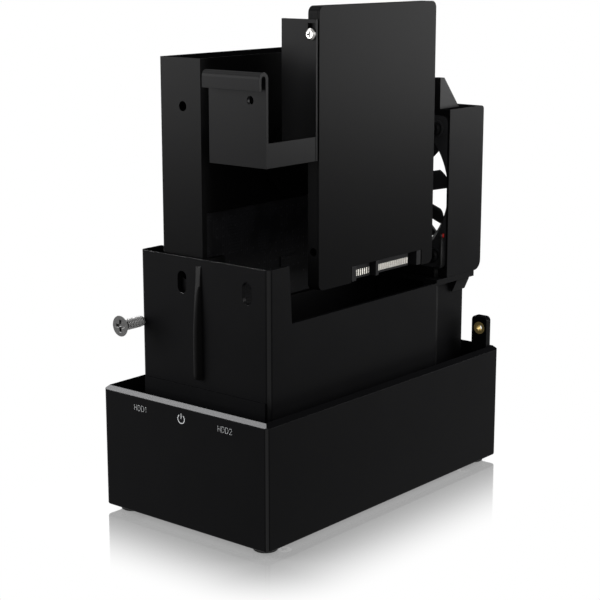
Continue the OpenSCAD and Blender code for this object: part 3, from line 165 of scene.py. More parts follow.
class Wire:
    """A node socket that adds Math nodes as it takes part in an expression."""

    __add__, __radd__ = both_ways("ADD")
    __sub__, __rsub__ = both_ways("SUBTRACT")
    __mul__, __rmul__ = both_ways("MULTIPLY")
    __truediv__, __rtruediv__ = both_ways("DIVIDE")
    __pow__, __rpow__ = both_ways("POWER")
    __lt__, __gt__ = both_ways("LESS_THAN")

    def __init__(self, tree, socket):
        self.tree = tree
        self.socket = socket

    def out(self, name):
        """Another output of the same node."""
        return Wire(self.tree, self.socket.node.outputs[name])

    def maths(self, operation, *values):
        return self.tree.add("ShaderNodeMath", values, operation=operation)

    def sine(self):
        return self.maths("SINE", self)

    def size(self):
        return self.maths("ABSOLUTE", self)

    def fraction(self):
        return self.maths("FRACT", self)


class NodeSheet:
    """A node tree under construction, with the one method that adds its nodes."""

    def __init__(self, tree, output_kind):
        self.nodes = tree.nodes
        self.links = tree.links
        self.nodes.clear()
        self.output = self.nodes.new(output_kind)

    def add(self, kind, values=(), **settings):
        """Add a node, with its settings and then its inputs; give its first output."""
        node = self.nodes.new(kind)
        for key, value in settings.items():
            setattr(node, key, value)
        for key, value in values.items() if isinstance(values, dict) else enumerate(values):
            if isinstance(value, Wire):
                self.links.new(value.socket, node.inputs[key])
            else:
                node.inputs[key].default_value = value
        return Wire(self, node.outputs[0])

    def end(self, shader):
        """Link the last shader to the output."""
        self.links.new(shader.socket, self.output.inputs["Surface"])

    def mix(self, factor, *colours):
        """Mix two colours, each a wire or three numbers."""
        first, second = (
            colour if isinstance(colour, Wire) else (*colour, 1.0) for colour in colours)
        values = {"Factor": factor, 6: first, 7: second}
        return self.add("ShaderNodeMix", values, data_type="RGBA").out(2)

    def sight(self):
        """One for the camera's rays and for those off metal and through glass."""
        rays = self.add("ShaderNodeLightPath")
        seen = rays.out("Is Camera Ray") + rays.out("Is Glossy Ray")
        return seen + rays.out("Is Transmission Ray")


class Finish(NodeSheet):
    """A material under construction."""

    def __init__(self, name):
        self.material = bpy.data.materials.new(name)
        self.material.use_nodes = True
        super().__init__(self.material.node_tree, "ShaderNodeOutputMaterial")

    def place(self):
        """Object coordinates in millimetres."""
        coords = self.add("ShaderNodeTexCoord").out("Object")
        values = {0: coords, "Scale": 1 / MM}
        return self.add("ShaderNodeVectorMath", values, operation="SCALE")

    def axes(self):
        """The three object coordinates in millimetres, as separate wires."""
        split = self.add("ShaderNodeSeparateXYZ", [self.place()])
        return [split.out(axis) for axis in "XYZ"]

    def noise(self, scale, detail=2.0, roughness=0.5, stretch=None):
        """Noise whose grain is about 1 / scale millimetres, from 0 to 1."""
        place = self.place()
        if stretch:
            place = self.add("ShaderNodeVectorMath", [place, stretch], operation="MULTIPLY")
        values = {"Vector": place, "Scale": scale, "Detail": detail, "Roughness": roughness}
        return self.add("ShaderNodeTexNoise", values)

    def bump(self, height, distance, strength):
        """A bump whose full height is distance in metres."""
        values = {"Height": height, "Distance": distance, "Strength": strength}
        return self.add("ShaderNodeBump", values)

    def principled(self, **inputs):
        """End the material in a Principled shader."""
        values = {key.replace("_", " "): value for key, value in inputs.items()}
        self.end(self.add("ShaderNodeBsdfPrincipled", values))
        return self.material

    def grained(self, grain, colours, rough, bump, cloud=None, **others):
        """End the material so that a grain varies its roughness and its bump.

        The grain mixes the two colours too, unless a cloud does. Rough is the least roughness
        and what the grain adds, bump the distance and strength.
        """
        least, spread = rough
        return self.principled(
            Base_Color=self.mix(cloud or grain, *colours), Roughness=least + spread * grain,
            Normal=self.bump(grain, *bump), **others)


def finish_settings():
    return bpy.context.scene.enclosure_finish


def detail():
    return bpy.context.scene.enclosure_detail


def tones(colour, *factors):
    """Darker and lighter tones of a colour, or of the finish setting of that name."""
    if isinstance(colour, str):
        colour = getattr(finish_settings(), colour)
    return [tuple(channel * factor for channel in colour) for factor in factors]


# Finishes, each of which is made once

@cache
def coated_sheet(sheen=0.026):
    """Satin black coating on sheet metal, with its fine orange-peel grain."""
    # Without sheen it is a copy that paints shade on faces that look up
    made = Finish("coated_sheet" if sheen else "coated_sheet_dull")
    peel, cloud, grain = made.noise(2.6, 3.0), made.noise(0.05), made.noise(9.0, 1.0)
    return made.principled(
        Base_Color=made.mix(cloud, *tones("coat_colour", 0.9, 1.12)),
        Roughness=finish_settings().coat_roughness - 0.05 + 0.07 * cloud + 0.04 * grain,
        Normal=made.bump(peel * 0.6 + grain * 0.4, 0.00002, 0.35), Specular_IOR_Level=sheen)


@cache
def moulded_plastic(sheen=0.024):
    """Moulded black plastic with a fine spark-eroded texture."""
    # Copies without sheen paint shade, and copies with more sheen paint highlights, on chosen faces
    made = Finish("moulded_plastic_" + str(int(sheen * 1000 + 0.5)))
    pits, cloud = made.noise(6.5, 2.0, 0.6), made.noise(0.06)
    return made.principled(
        Base_Color=made.mix(cloud, *tones("plastic_colour", 0.9, 1.12)),
        Roughness=finish_settings().plastic_roughness - 0.04 + 0.06 * cloud + 0.05 * pits,
        Normal=made.bump(pits, 0.000018, 0.4), Specular_IOR_Level=sheen)


@cache
def drive_casting(sheen=0.024):
    """Black painted casting, slightly pebbled."""
    # Without sheen it is a copy that paints shade on faces that look up
    made = Finish("drive_casting" if sheen else "drive_casting_dull")
    return made.grained(
        made.noise(1.8, 4.0, 0.6), tones("drive_colour", 0.85, 1.15), (0.3, 0.05),
        (0.00004, 0.35), Specular_IOR_Level=sheen)


@cache
def drive_sheet(sheen=0.0145):
    """Smooth black anodised sheet of the small drive's case and the large drive's lid."""
    # Without sheen it is a copy that paints shade on faces that look up
    made = Finish("drive_sheet" if sheen else "drive_sheet_dull")
    return made.grained(
        made.noise(7.0), tones("drive_colour", 0.95, 1.1), (0.33, 0.04), (0.000012, 0.3),
        made.noise(0.04), Specular_IOR_Level=sheen)


@cache
def screw_steel():
    """Zinc-plated steel, a little uneven."""
    made = Finish("screw_steel")
    return made.grained(
        made.noise(6.0), tones("steel_colour", 0.82, 1.06), (0.22, 0.16), (0.00001, 0.35),
        made.noise(1.2, 3.0), Metallic=1.0)


@cache
def dark_zinc(level):
    """Grey zinc of the loose screw, finely scratched; its level paints in light and shade."""
    made = Finish("dark_zinc_" + str(int(level * 100)))
    colours = (level * 0.72,) * 3, (level * 1.3, level * 1.29, level * 1.27)
    return made.grained(
        made.noise(5.0, 3.0, 0.7), colours, (0.2, 0.16), (0.000012, 0.3), made.noise(1.3, 3.0),
        Metallic=1.0 if level < 0.1 else 0.5)


@cache
def turned_brass():
    """Brass with turning lines round the insert and a slight tarnish."""
    made = Finish("turned_brass")
    lines, tarnish = made.noise(2.0, stretch=(0.4, 6.0, 0.4)), made.noise(0.9, 4.0)
    groove, clean, tarnished = tones("brass_colour", 0.86, 1, 0.5)
    return made.principled(
        Base_Color=made.mix(tarnish ** 3, made.mix(lines, groove, clean), tarnished),
        Metallic=0.5, Roughness=0.4 + 0.2 * tarnish, Normal=made.bump(lines, 0.00001, 0.4),
        Specular_IOR_Level=0.1, Specular_Tint=(0.5, 0.36, 0.16, 1))


@cache
def copper_winding():
    """Enamelled copper wire, wound in layers."""
    made = Finish("copper_winding")
    layer = (made.axes()[1] * 24.0).sine() * 0.5 + 0.5
    return made.grained(
        layer, ((0.30, 0.085, 0.025), (0.62, 0.22, 0.08)), (0.26, 0.12), (0.00005, 0.5),
        Metallic=0.9, Coat_Weight=0.6, Coat_Roughness=0.15)


@cache
def ribbon_sleeve():
    """Flat grey ribbon, moulded in ridges along its length."""
    made = Finish("ribbon_sleeve")
    ridge = (made.axes()[0] * (2 * math.pi)).sine() * 0.5 + 0.5
    return made.grained(
        ridge, ((0.16, 0.16, 0.17), (0.30, 0.30, 0.31)), (0.42, 0.1), (0.00012, 0.6))


@cache
def capacitor_sleeve():
    """Aluminium can with a crimped, slightly dulled skin."""
    made = Finish("capacitor_sleeve")
    dull = made.noise(1.2, 3.0)
    crimp = (made.axes()[2] * 3.1).sine()
    return made.principled(
        Base_Color=made.mix(dull, (0.50, 0.51, 0.53), (0.66, 0.67, 0.68)), Metallic=1.0,
        Roughness=0.26 + 0.16 * dull, Normal=made.bump(crimp, 0.00003, 0.3))


@cache
def wire_sleeve(name, colour):
    """Coloured plastic sleeve of a fine wire."""
    made = Finish("wire_" + name)
    return made.grained(
        made.noise(2.0, 3.0), tones(colour, 0.85, 1.1), (0.34, 0.14), (0.00002, 0.3),
        Specular_IOR_Level=0.06)


@cache
def printed_mark():
    """Pale printing ink, a little thin in places."""
    made = Finish("printed_mark")
    thin = made.noise(4.0, 3.0)
    colour = made.mix(thin, *tones("mark_colour", 0.82, 1))
    return made.principled(Base_Color=colour, Roughness=0.5 + 0.14 * thin)


TRACK_STEP = 0.9  # how many tracks come in one millimetre of board
VIA_STEP = 0.31  # and how many vias


@cache
def solder_mask(first_axis, second_axis, mask_colour="board_colour"):
    """Solder mask over copper tracks, which run along two directions of the board."""
    made = Finish(mask_colour.replace("colour", "mask_") + first_axis + second_axis)
    along = dict(zip("XYZ", made.axes()))
    first, second = along[first_axis], along[second_axis]
    patches, turned = made.noise(0.16, 0.0), made.noise(0.11, 0.0)
    rows = ((first * TRACK_STEP).fraction() - 0.5).size()
    columns = ((second * TRACK_STEP).fraction() - 0.5).size()
    track_one = (rows < 0.22) * (patches > 0.52)
    track_two = (columns < 0.22) * (turned > 0.56) * (1 - track_one)
    tracks = track_one + track_two
    across = (first * VIA_STEP).fraction() - 0.5
    down = (second * VIA_STEP).fraction() - 0.5
    vias = (across ** 2 + down ** 2 < 0.012) * (patches > 0.45)
    bare, track, pad = tones(mask_colour, 1, 1.9, 4)
    if mask_colour == "board_colour":
        pad, sheen = (0.55, 0.55, 0.52), 0.3
    else:
        sheen = 0.06
    return made.principled(
        Base_Color=made.mix(vias, made.mix(tracks, bare, track), pad),
        Roughness=0.34 + 0.1 * patches - 0.06 * vias, Metallic=vias * 0.8,
        Normal=made.bump(tracks + vias, 0.00004, 0.5), Specular_IOR_Level=sheen)


# The finishes that need nothing more than one grain. Each has its two colours, or a setting and
# two tones of it, then its noise, roughness and bump as for Finish.grained, how metallic it is
# and its specular level.
PLAIN_FINISHES = {
    # Dull black plastic of sockets and switches
    "socket_plastic": (
        ((0.004, 0.004, 0.0043), (0.007, 0.007, 0.0075)), (5.0, 3.0), (0.42, 0.12),
        (0.00002, 0.3), 0, 0.03),
    # Finer grain on the cradle's front rib, in a paler colour that is painted light on its faces
    "rib_plastic": (
        ((0.0044, 0.0044, 0.0045), (0.006, 0.006, 0.0061)), (2.6, 3.0), (0.3, 0.1),
        (0.00001, 0.3), 0, 0.03),
    # Grey-black glass-filled plastic of the fan
    "fan_plastic": (
        ((0.01, 0.01, 0.0105), (0.017, 0.017, 0.018)), (4.0, 3.0, 0.5, (1.0, 0.35, 2.4)),
        (0.44, 0.12), (0.00002, 0.35), 0, 0.045),
    # Matt black rubber, dusted in its pores
    "foot_rubber": (
        ((0.01,) * 3, (0.024, 0.024, 0.023)), (5.0, 4.0, 0.65), (0.72, 0.16),
        (0.00004, 0.4), 0, 0.045),
    # Moulded chip, matt, with a paler moulding skin in places
    "chip_body": (
        ((0.012,) * 3, (0.03,) * 3), (2.4, 4.0), (0.5, 0.16),
        (0.00002, 0.3), 0, 0.5),
    # Milky lens of a small status light, unlit
    "lamp_lens": (
        ((0.62, 0.64, 0.66), (0.80, 0.82, 0.84)), (3.0,), (0.16, 0.1), (0.00001, 0.2), 0, 0.5),
    # Edges painted pale as a highlight, where a rounded edge catches the light
    "bright_edge": (
        ((0.03, 0.03, 0.031), (0.13, 0.13, 0.132)), (0.35, 3.0), (0.22, 0.2),
        (0.00001, 0.3), 0, 0.5),
    # Machined bevel, finely brushed along its length
    "cut_strip": (
        ("strip_colour", 0.88, 1.08), (1.0, 4.0, 0.7, (0.25, 9.0, 9.0)), (0.24, 0.14),
        (0.000012, 0.4), 1, 0.5),
    # Black oxide steel of screws
    "black_steel": (
        ((0.016, 0.016, 0.017), (0.036, 0.035, 0.034)), (1.1, 3.0), (0.3, 0.14),
        (0.00001, 0.3), 0.85, 0.5),
    # Tinned sheet of connector shells, pins and shafts
    "bright_shield": (
        ((0.52, 0.52, 0.53), (0.68, 0.68, 0.69)), (1.5, 3.0), (0.2, 0.16),
        (0.00001, 0.3), 1, 0.5),
    # Gold-plated contact, rubbed lengthways
    "contact_gold": (
        ("gold_colour", 0.86, 1), (3.0, 3.0, 0.5, (4.0, 4.0, 0.3)), (0.24, 0.14),
        (0.000008, 0.4), 1, 0.5),
}


@cache
def grained(name):
    """One of the finishes in the table above."""
    colours, noise, rough, bump, metallic, sheen = PLAIN_FINISHES[name]
    if isinstance(colours[0], str):
        colours = tones(*colours)
    made = Finish(name)
    return made.grained(
        made.noise(*noise), colours, rough, bump, Metallic=metallic, Specular_IOR_Level=sheen)


# Shapes

SHARP_ANGLE = math.radians(28)  # edges sharper than this are rounded
SMOOTH_ANGLE = math.radians(36)  # edges less sharp than this are shaded smooth


def add_object(name, data):
    """Add an object to the scene; an edit mesh is turned into a mesh first."""
    if isinstance(data, bmesh.types.BMesh):
        edited, data = data, bpy.data.meshes.new(name)
        edited.to_mesh(data)
        edited.free()
    added = bpy.data.objects.new(name, data)
    bpy.context.scene.collection.objects.link(added)
    return added


def wear(piece, finish, faces=()):
    """Give a piece its finish, or some of its faces a further one."""
    piece.data.materials.append(finish)
    for face in faces:
        face.material_index = len(piece.data.materials) - 1


def faces_at(piece, way, least, where=None):
    """The faces of a piece that look nearly one way and whose middle passes any test."""
    way = Vector(way).normalized()
    return [
        face for face in piece.data.polygons
        if face.normal.dot(way) > least and (where is None or where(face.center))]


def new_piece(name, mesh, slot, finish, body="enclosure"):
    """Add a mesh to the scene as a named piece that moves with a body."""
    piece = add_object(name, mesh)
    wear(piece, finish)
    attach(piece, body)
    return piece


def node_mesh(name):
    """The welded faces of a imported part, with flat faces joined up."""
    mesh = bmesh.new()
    mesh.from_mesh(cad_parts[name].data)
    bmesh.ops.remove_doubles(mesh, verts=mesh.verts, dist=0.002 * MM)
    bmesh.ops.dissolve_limit(
        mesh, angle_limit=math.radians(0.6), verts=mesh.verts, edges=mesh.edges)
    return mesh


def round_edges(mesh, edges, width, segments):
    """Round some edges by a width."""
    bmesh.ops.bevel(
        mesh, geom=edges, offset=width, segments=segments, profile=0.5, affect="EDGES",
        clamp_overlap=True)


def soften(mesh, width, leave=None):
    """Round the sharp edges that are long enough to carry it, apart from those to leave."""
    sharp = [
        edge for edge in mesh.edges
        if not (leave and leave(edge)) and len(edge.link_faces) == 2
        and edge.calc_length() >= 0.2 * width and edge.calc_face_angle(0) > SHARP_ANGLE]
    if sharp and width > 0:
        round_edges(mesh, sharp, width, detail().edge_segments)
    for face in mesh.faces:
        face.smooth = True
    for edge in mesh.edges:
        edge.smooth = edge.calc_face_angle(0) < SMOOTH_ANGLE


def level_shading(piece):
    """Shade big faces flat and the rounded edges soft, by weighting normals by area."""
    weighted = piece.modifiers.new("level_shading", "WEIGHTED_NORMAL")
    weighted.keep_sharp = True


def finished_piece(
        node, slot, finish, width=None, body="enclosure", top=None, shaped=None):
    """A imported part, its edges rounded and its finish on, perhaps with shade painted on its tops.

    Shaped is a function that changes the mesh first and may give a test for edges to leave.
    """
    mesh = node_mesh(node)
    leave = shaped(mesh) if shaped else None
    soften(mesh, detail().fine_edge if width is None else width, leave)
    piece = new_piece(node + "_finished", mesh, slot, finish, body)
    if top:
        # A sheenless copy of the finish paints the faces that look up dark, as shade
        wear(piece, top, faces_at(piece, (0, 0, 1), 0.96))
    level_shading(piece)
    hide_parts(node)
    return piece


def finished_pieces(*rows):
    """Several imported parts, from what finished_piece takes for each."""
    for row in rows:
        finished_piece(*row)


def circle(sides):
    """Cosine and sine of evenly spaced turns."""
    turns = [2 * math.pi * step / sides for step in range(sides)]
    return [(math.cos(turn), math.sin(turn)) for turn in turns]


def skin(mesh, rings, capped=True):
    """Join each ring of vertices to the next, where one vertex makes a point, and cap the ends."""
    for first, second in zip(rings, rings[1:]):
        around = ((first, 0), (first, 1), (second, 1), (second, 0))
        for step in range(max(len(first), len(second))):
            corners = [ring[(step + turn) % len(ring)] for ring, turn in around]
            mesh.faces.new(list(dict.fromkeys(corners)))
    if capped:
        mesh.faces.new(rings[0][::-1])
        mesh.faces.new(rings[-1])


# Stage

FLOOR_FADE = 42  # how far from the base, in millimetres, the floor turns white
FLOOR_DEPTH = 0.73  # how much of the floor's own shade shows beside the base


@cache
def studio_floor():
    """Pale floor that the camera sees as white, with a shadow and a faint mirror image."""
    made = Finish("studio_floor")
    past = [
        axis.size() - half / MM for axis, half in zip(made.axes(), CAD_BOX[1][:2])]
    side, front = ((beyond + beyond.size()) * 0.5 for beyond in past)
    near = 1 - (side ** 2 + front ** 2) ** 0.5 / FLOOR_FADE
    fade = (near + near.size()) * 0.5
    grain = made.noise(0.4)
    shadowed = made.add("ShaderNodeBsdfDiffuse", {"Color": (0.9, 0.9, 0.9, 1)})
    sheen = {"Color": (1, 1, 1, 1), "Roughness": 0.05 + 0.02 * grain}
    mirror = made.add("ShaderNodeBsdfAnisotropic", sheen)
    polished = made.add("ShaderNodeMixShader", [0.88 + 0.02 * grain, shadowed, mirror])
    white = made.add("ShaderNodeEmission")
    direct = made.add("ShaderNodeLightPath").out("Is Camera Ray")
    cover = 1 - FLOOR_DEPTH * (fade ** 2 * (3 - 2 * fade)) * direct
    seen = made.add("ShaderNodeMixShader", [cover, polished, white])
    board = made.add("ShaderNodeBsdfDiffuse", {"Color": (0.34, 0.34, 0.34, 1)})
    made.end(made.add("ShaderNodeMixShader", [made.sight(), board, seen]))
    return made.material


def light_room(scene):
    """A room that the camera and the shiny surfaces see as plain white."""
    world = bpy.data.worlds.new("white_room")
    world.use_nodes = True
    made = NodeSheet(world.node_tree, "ShaderNodeOutputWorld")
    level = (scene.enclosure_stage.room_level,) * 3
    colour = made.mix(made.sight(), level, (1.0, 1.0, 1.0))
    made.end(made.add("ShaderNodeBackground", {"Color": colour}))
    scene.world = world


def add_lamp(name, place, height, size, watts):
    """A soft square lamp that points at a height over the middle of the base."""
    lamp = bpy.data.lights.new(name, "AREA")
    lamp.shape = "SQUARE"
    lamp.size = size
    lamp.energy = watts
    holder = add_object(name, lamp)
    holder.location = place
    aim = Vector((0, 0, height)) - Vector(place)
    holder.rotation_euler = aim.to_track_quat("-Z", "Y").to_euler()


class ENCLOSURE_OT_stage(Operator):
    """Set the camera, the floor and the light"""

    bl_idname = "enclosure.stage"
    bl_label = "Stage"

    def execute(self, context):
        scene = context.scene
        look = scene.enclosure_stage
        lens = bpy.data.cameras.new("camera")
        lens.sensor_width = 36
        lens.lens = look.focal_length
        lens.shift_x = -0.0008
        lens.shift_y = -0.005
        lens.clip_end = 20
        camera = add_object("camera", lens)
        camera.location = look.camera_place
        camera.rotation_euler = (math.pi / 2 - look.camera_tilt, 0, look.camera_turn)
        scene.camera = camera
        scene.view_settings.view_transform = "Standard"

        mesh = bmesh.new()
        bmesh.ops.create_grid(mesh, x_segments=2, y_segments=2, size=4.0)
        floor = add_object("floor", mesh)
        wear(floor, studio_floor())

        light_room(scene)
        add_lamp("key_lamp", (-1.1, -0.4, 1.35), 0.1, 0.8, look.key_power)
        add_lamp("right_lamp", (0.37, 0.45, 0.28), 0.2, 0.4, look.right_power)
        add_lamp("corner_lamp", (1.0, -1.15, 0.5), 0.1, 0.5, look.corner_power)
        add_lamp("left_lamp", (-0.38, -0.46, 0.28), 0.2, 0.4, look.left_power)
        return {"FINISHED"}


# Printed marks on the front

# The letters' strokes, as points across and up, with the letter's height as one
STROKES = {
    "H": [[(0, 0), (0, 1)], [(0.62, 0), (0.62, 1)], [(0, 0.5), (0.62, 0.5)]],
    "D": [[(0, 0), (0, 1), (0.3, 1), (0.52, 0.9), (0.64, 0.7), (0.66, 0.5), (0.64, 0.3),
           (0.52, 0.1), (0.3, 0), (0, 0)]],
    "1": [[(0.08, 0.78), (0.3, 1), (0.3, 0)]],
    "2": [[(0.02, 0.76), (0.1, 0.93), (0.3, 1), (0.5, 0.93), (0.58, 0.75), (0.52, 0.56),
           (0.02, 0.0), (0.62, 0.0)]],
}
LETTER_STEP = 0.85
LETTER_NARROWING = 0.9
INK_WIDTH = 0.11 * MM
INK_DEPTH = 0.02 * MM
MARK_LEVEL = 42.7 * MM
WORDS = (("HDD1", -23.9 * MM), ("HDD2", 17.3 * MM))  # and where each starts
SIGN_X = -0.4 * MM
SIGN_RADIUS = 1.6 * MM
SIGN_WIDTH = 0.36 * MM


def ink_line(mesh, points, front, width=INK_WIDTH):
    """A flat painted line through points (x, z), just proud of a front face."""
    rims = []
    points = [Vector(point) for point in points]
    for index, here in enumerate(points):
        before = points[max(index - 1, 0)]
        after = points[min(index + 1, len(points) - 1)]
        turn_in = (here - before if index else after - here).normalized()
        turn_out = (after - here).normalized() if index < len(points) - 1 else turn_in
        along = (turn_in + turn_out).normalized()
        side = Vector((-along.y, along.x)) * (width / 2 / max(0.5, along.dot(turn_in)))
        upper, lower = here + side, here - side
        corners = ((upper, 0), (lower, 0), (lower, INK_DEPTH), (upper, INK_DEPTH))
        rims.append([mesh.verts.new((end.x, front - depth, end.y)) for end, depth in corners])
    skin(mesh, rims)


class ENCLOSURE_OT_marks(Operator):
    """Print the bay numbers and the power sign on the front"""

    bl_idname = "enclosure.marks"
    bl_label = "Printed marks"

    def execute(self, context):
        height = detail().mark_height
        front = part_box("base_housing")[0][1]
        foot = MARK_LEVEL - height / 2
        mesh = bmesh.new()
        for word, start in WORDS:
            for place, letter in enumerate(word):
                left = start + place * LETTER_STEP * height
                for stroke in STROKES[letter]:
                    ink_line(mesh, [
                        (left + x * height * LETTER_NARROWING, foot + z * height)
                        for x, z in stroke], front)
        arc = [math.radians(90 + turn) for turn in range(36, 325, 12)]
        ring = [
            (SIGN_X + SIGN_RADIUS * math.cos(turn), MARK_LEVEL + SIGN_RADIUS * math.sin(turn))
            for turn in arc]
        stem = [(SIGN_X, MARK_LEVEL), (SIGN_X, MARK_LEVEL + SIGN_RADIUS * 1.25)]
        for line in (ring, stem):
            ink_line(mesh, line, front, SIGN_WIDTH)
        bmesh.ops.recalc_face_normals(mesh, faces=mesh.faces)
        new_piece("front_marks", mesh, "black_plastic", printed_mark())
        return {"FINISHED"}


# Base

# The outer foot edge lies outside a line this far within the base's box, or in its rounded
# corners, where the shares of the width and the depth come to nearly two
RIM_INSET = 0.2 * MM
CORNER_REACH = 2 * MM
CORNER_SHARE = 1.98
FOOT_REACH = 0.05 * MM
BEVEL_REACH = 1.8 * MM
BASE_CORNER_X = 38 * MM


def round_foot(mesh):
    """Round the outer foot edge of the base housing more widely than its other edges."""
    low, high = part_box("base_housing")
    width, depth = high[0] - RIM_INSET, high[1] - RIM_INSET
    foot = []
    for edge in mesh.edges:
        first, second = (vert.co for vert in edge.verts)
        across, along = abs(first.x + second.x) / 2, abs(first.y + second.y) / 2
        corner = across > width - CORNER_REACH and along > depth - CORNER_REACH
        outside = across > width or along > depth or (
            corner and across / width + along / depth > CORNER_SHARE)
        level = max(first.z, second.z) < low[2] + FOOT_REACH
        if len(edge.link_faces) == 2 and level and outside:
            foot.append(edge)
    if not foot:
        raise RuntimeError("the base's foot edge wasn't found")
    round_edges(mesh, foot, detail().base_foot_edge, 4)


class ENCLOSURE_OT_base(Operator):
    """Build the base housing with its bright cut front bevel, its inserts and its feet"""

    bl_idname = "enclosure.base"
    bl_label = "Base housing"

    def execute(self, context):
        # The sheenless copy paints the base's faces that look up dark, as shade
        dull = moulded_plastic(0.0)
        base = finished_piece(
            "base_housing", "black_plastic", moulded_plastic(0.017), detail().moulded_edge,
            top=dull, shaped=round_foot)
        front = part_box("base_housing")[0][1]
        bevel = faces_at(base, (0, -1, 1), 0.985, lambda place: place.y < front + BEVEL_REACH)
        if not bevel:
            raise RuntimeError("the front bevel wasn't found")
        wear(base, grained("cut_strip"), bevel)
        # Faces that slope up wear it too, as painted shade
        for way in ((1, 0, 1), (-1, 0, 1), (0, 1, 1)):
            wear(base, dull, faces_at(base, way, 0.9))
        # The front right corner wears a copy with more sheen, a painted highlight
        wear(base, moulded_plastic(0.16), faces_at(
            base, (1, -1, 0), 0.93, lambda place: place.x > BASE_CORNER_X))
        finished_piece("brass_inserts", "brass", turned_brass())
        finished_piece("rubber_feet", "rubber", grained("foot_rubber"), 0.35 * MM)
        return {"FINISHED"}


class ENCLOSURE_OT_bottom(Operator):
    """Build the bottom plate and its screws"""

    bl_idname = "enclosure.bottom"
    bl_label = "Bottom plate"

    def execute(self, context):
        finished_piece("bottom_plate", "coated_sheet", coated_sheet(), detail().sheet_edge)
        finished_piece("plate_screws", "black_screw", grained("black_steel"))
        return {"FINISHED"}


# Cradle and boards

RIB_POWER = 2.3  # how square the half-round rib's section is, where two would be a circle
RIB_SIDE = 0.06  # how far the rib's sides already stand out, as a share
REAR_CORNER = (30.9 * MM, 40 * MM)
CRADLE_TOP = 80 * MM
CRADLE_FRONT = -59.4 * MM
CRADLE_CORNER = (29 * MM, -50 * MM)
RIB_FRONT = -60.2 * MM
RIB_SPAN = (-3.2 * MM, -0.4 * MM)


def shape_cradle(mesh):
    """Turn the cradle's square front rib into a half-round one, and tell which edges then stay."""
    front = max(
        (face for face in mesh.faces if face.normal.y < -0.99), key=lambda face: face.calc_area())
    wall = front.calc_center_median().y
    across = []
    for edge in mesh.edges:
        first, second = edge.verts[0].co, edge.verts[1].co
        level = abs(first.z - second.z) + abs(first.y - second.y) < 0.01 * MM
        if level and max(first.y, second.y) < wall - 0.1 * MM and edge.calc_length() < 4 * MM:
            across.append(edge)
    if not across:
        raise RuntimeError("the front rib wasn't found")
    ends = [vert.co.x for edge in across for vert in edge.verts]
    middle, half = (min(ends) + max(ends)) / 2, (max(ends) - min(ends)) / 2
    bmesh.ops.subdivide_edges(mesh, edges=across, cuts=9, use_grid_fill=True)

    def on_rib(vert, proud):
        return vert.co.y < wall - proud and abs(vert.co.x - middle) < half * 1.05

    for vert in mesh.verts:
        if on_rib(vert, 0.05 * MM):
            aside = min(1.0, abs(vert.co.x - middle) / half)
            share = RIB_SIDE + (1 - RIB_SIDE) * (1 - aside ** RIB_POWER) ** (1 / RIB_POWER)
            vert.co.y = wall - (wall - vert.co.y) * share

    def stays(edge):
        rear = all(
            abs(vert.co.x) > REAR_CORNER[0] and vert.co.y > REAR_CORNER[1] for vert in edge.verts)
        return rear or all(on_rib(vert, 0.005 * MM) for vert in edge.verts)

    return stays


class ENCLOSURE_OT_cradle(Operator):
    """Build the two-bay cradle and its screws"""

    bl_idname = "enclosure.cradle"
    bl_label = "Drive cradle"

    def execute(self, context):
        # Faces that look up wear the sheenless copy, as painted shade
        cradle = finished_piece(
            "cradle", "black_plastic", moulded_plastic(0.017), detail().moulded_edge,
            top=moulded_plastic(0.0), shaped=shape_cradle)
        right, back = CRADLE_CORNER
        # The front edge along the rim is painted pale, as a highlight
        wear(cradle, grained("bright_edge"), faces_at(
            cradle, (0, -1, 1), 0.9,
            lambda place: place.y < CRADLE_FRONT and place.z > CRADLE_TOP))
        # The front right corner wears a copy with more sheen, a painted highlight
        wear(cradle, moulded_plastic(0.14), faces_at(
            cradle, (1, -1, 0), 0.93, lambda place: place.x > right and place.y < back))
        # The front rib is painted paler, as light on its faces
        wear(cradle, grained("rib_plastic"), [
            face for face in cradle.data.polygons
            if face.center.y < RIB_FRONT and RIB_SPAN[0] < face.center.x < RIB_SPAN[1]])
        finished_piece("cradle_screws", "steel_screw", screw_steel())
        return {"FINISHED"}


class ENCLOSURE_OT_boards(Operator):
    """Build the main board with its parts and the two drive sockets"""

    bl_idname = "enclosure.boards"
    bl_label = "Main board"

    def execute(self, context):
        finished_pieces(
            ("main_board", "circuit_board", solder_mask("X", "Y"), 0),
            ("board_standoffs", "brass", turned_brass()),
            ("board_screws", "steel_screw", screw_steel()),
            ("board_chips", "chip", grained("chip_body")),
            ("board_capacitors", "capacitor", capacitor_sleeve(), 0.3 * MM),
            ("socket_left", "black_plastic", grained("socket_plastic")),
            ("socket_right", "black_plastic", grained("socket_plastic")))
        return {"FINISHED"}


class ENCLOSURE_OT_ports(Operator):
    """Build the rear panel with its ports, switches and key"""

    bl_idname = "enclosure.ports"
    bl_label = "Rear ports"

    def execute(self, context):
        shield = "bright_steel", grained("bright_shield")
        socket = "black_plastic", grained("socket_plastic")
        finished_pieces(
            ("io_panel", "coated_sheet", coated_sheet(), detail().sheet_edge),
            ("usb_shell", *shield),
            ("usb_insert", *socket),
            ("dc_jack", *socket),
            ("dc_pin", *shield),
            ("switch_body", *socket, 0.2 * MM),
            ("power_rocker", "black_plastic", moulded_plastic(), 0.25 * MM, "rocker"),
            ("raid_body", *socket),
            ("raid_slider", *socket, None, "selector_knob"),
            ("button_body", *socket),
            ("set_button", "black_plastic", moulded_plastic(), 0.15 * MM, "set_key"))
        return {"FINISHED"}


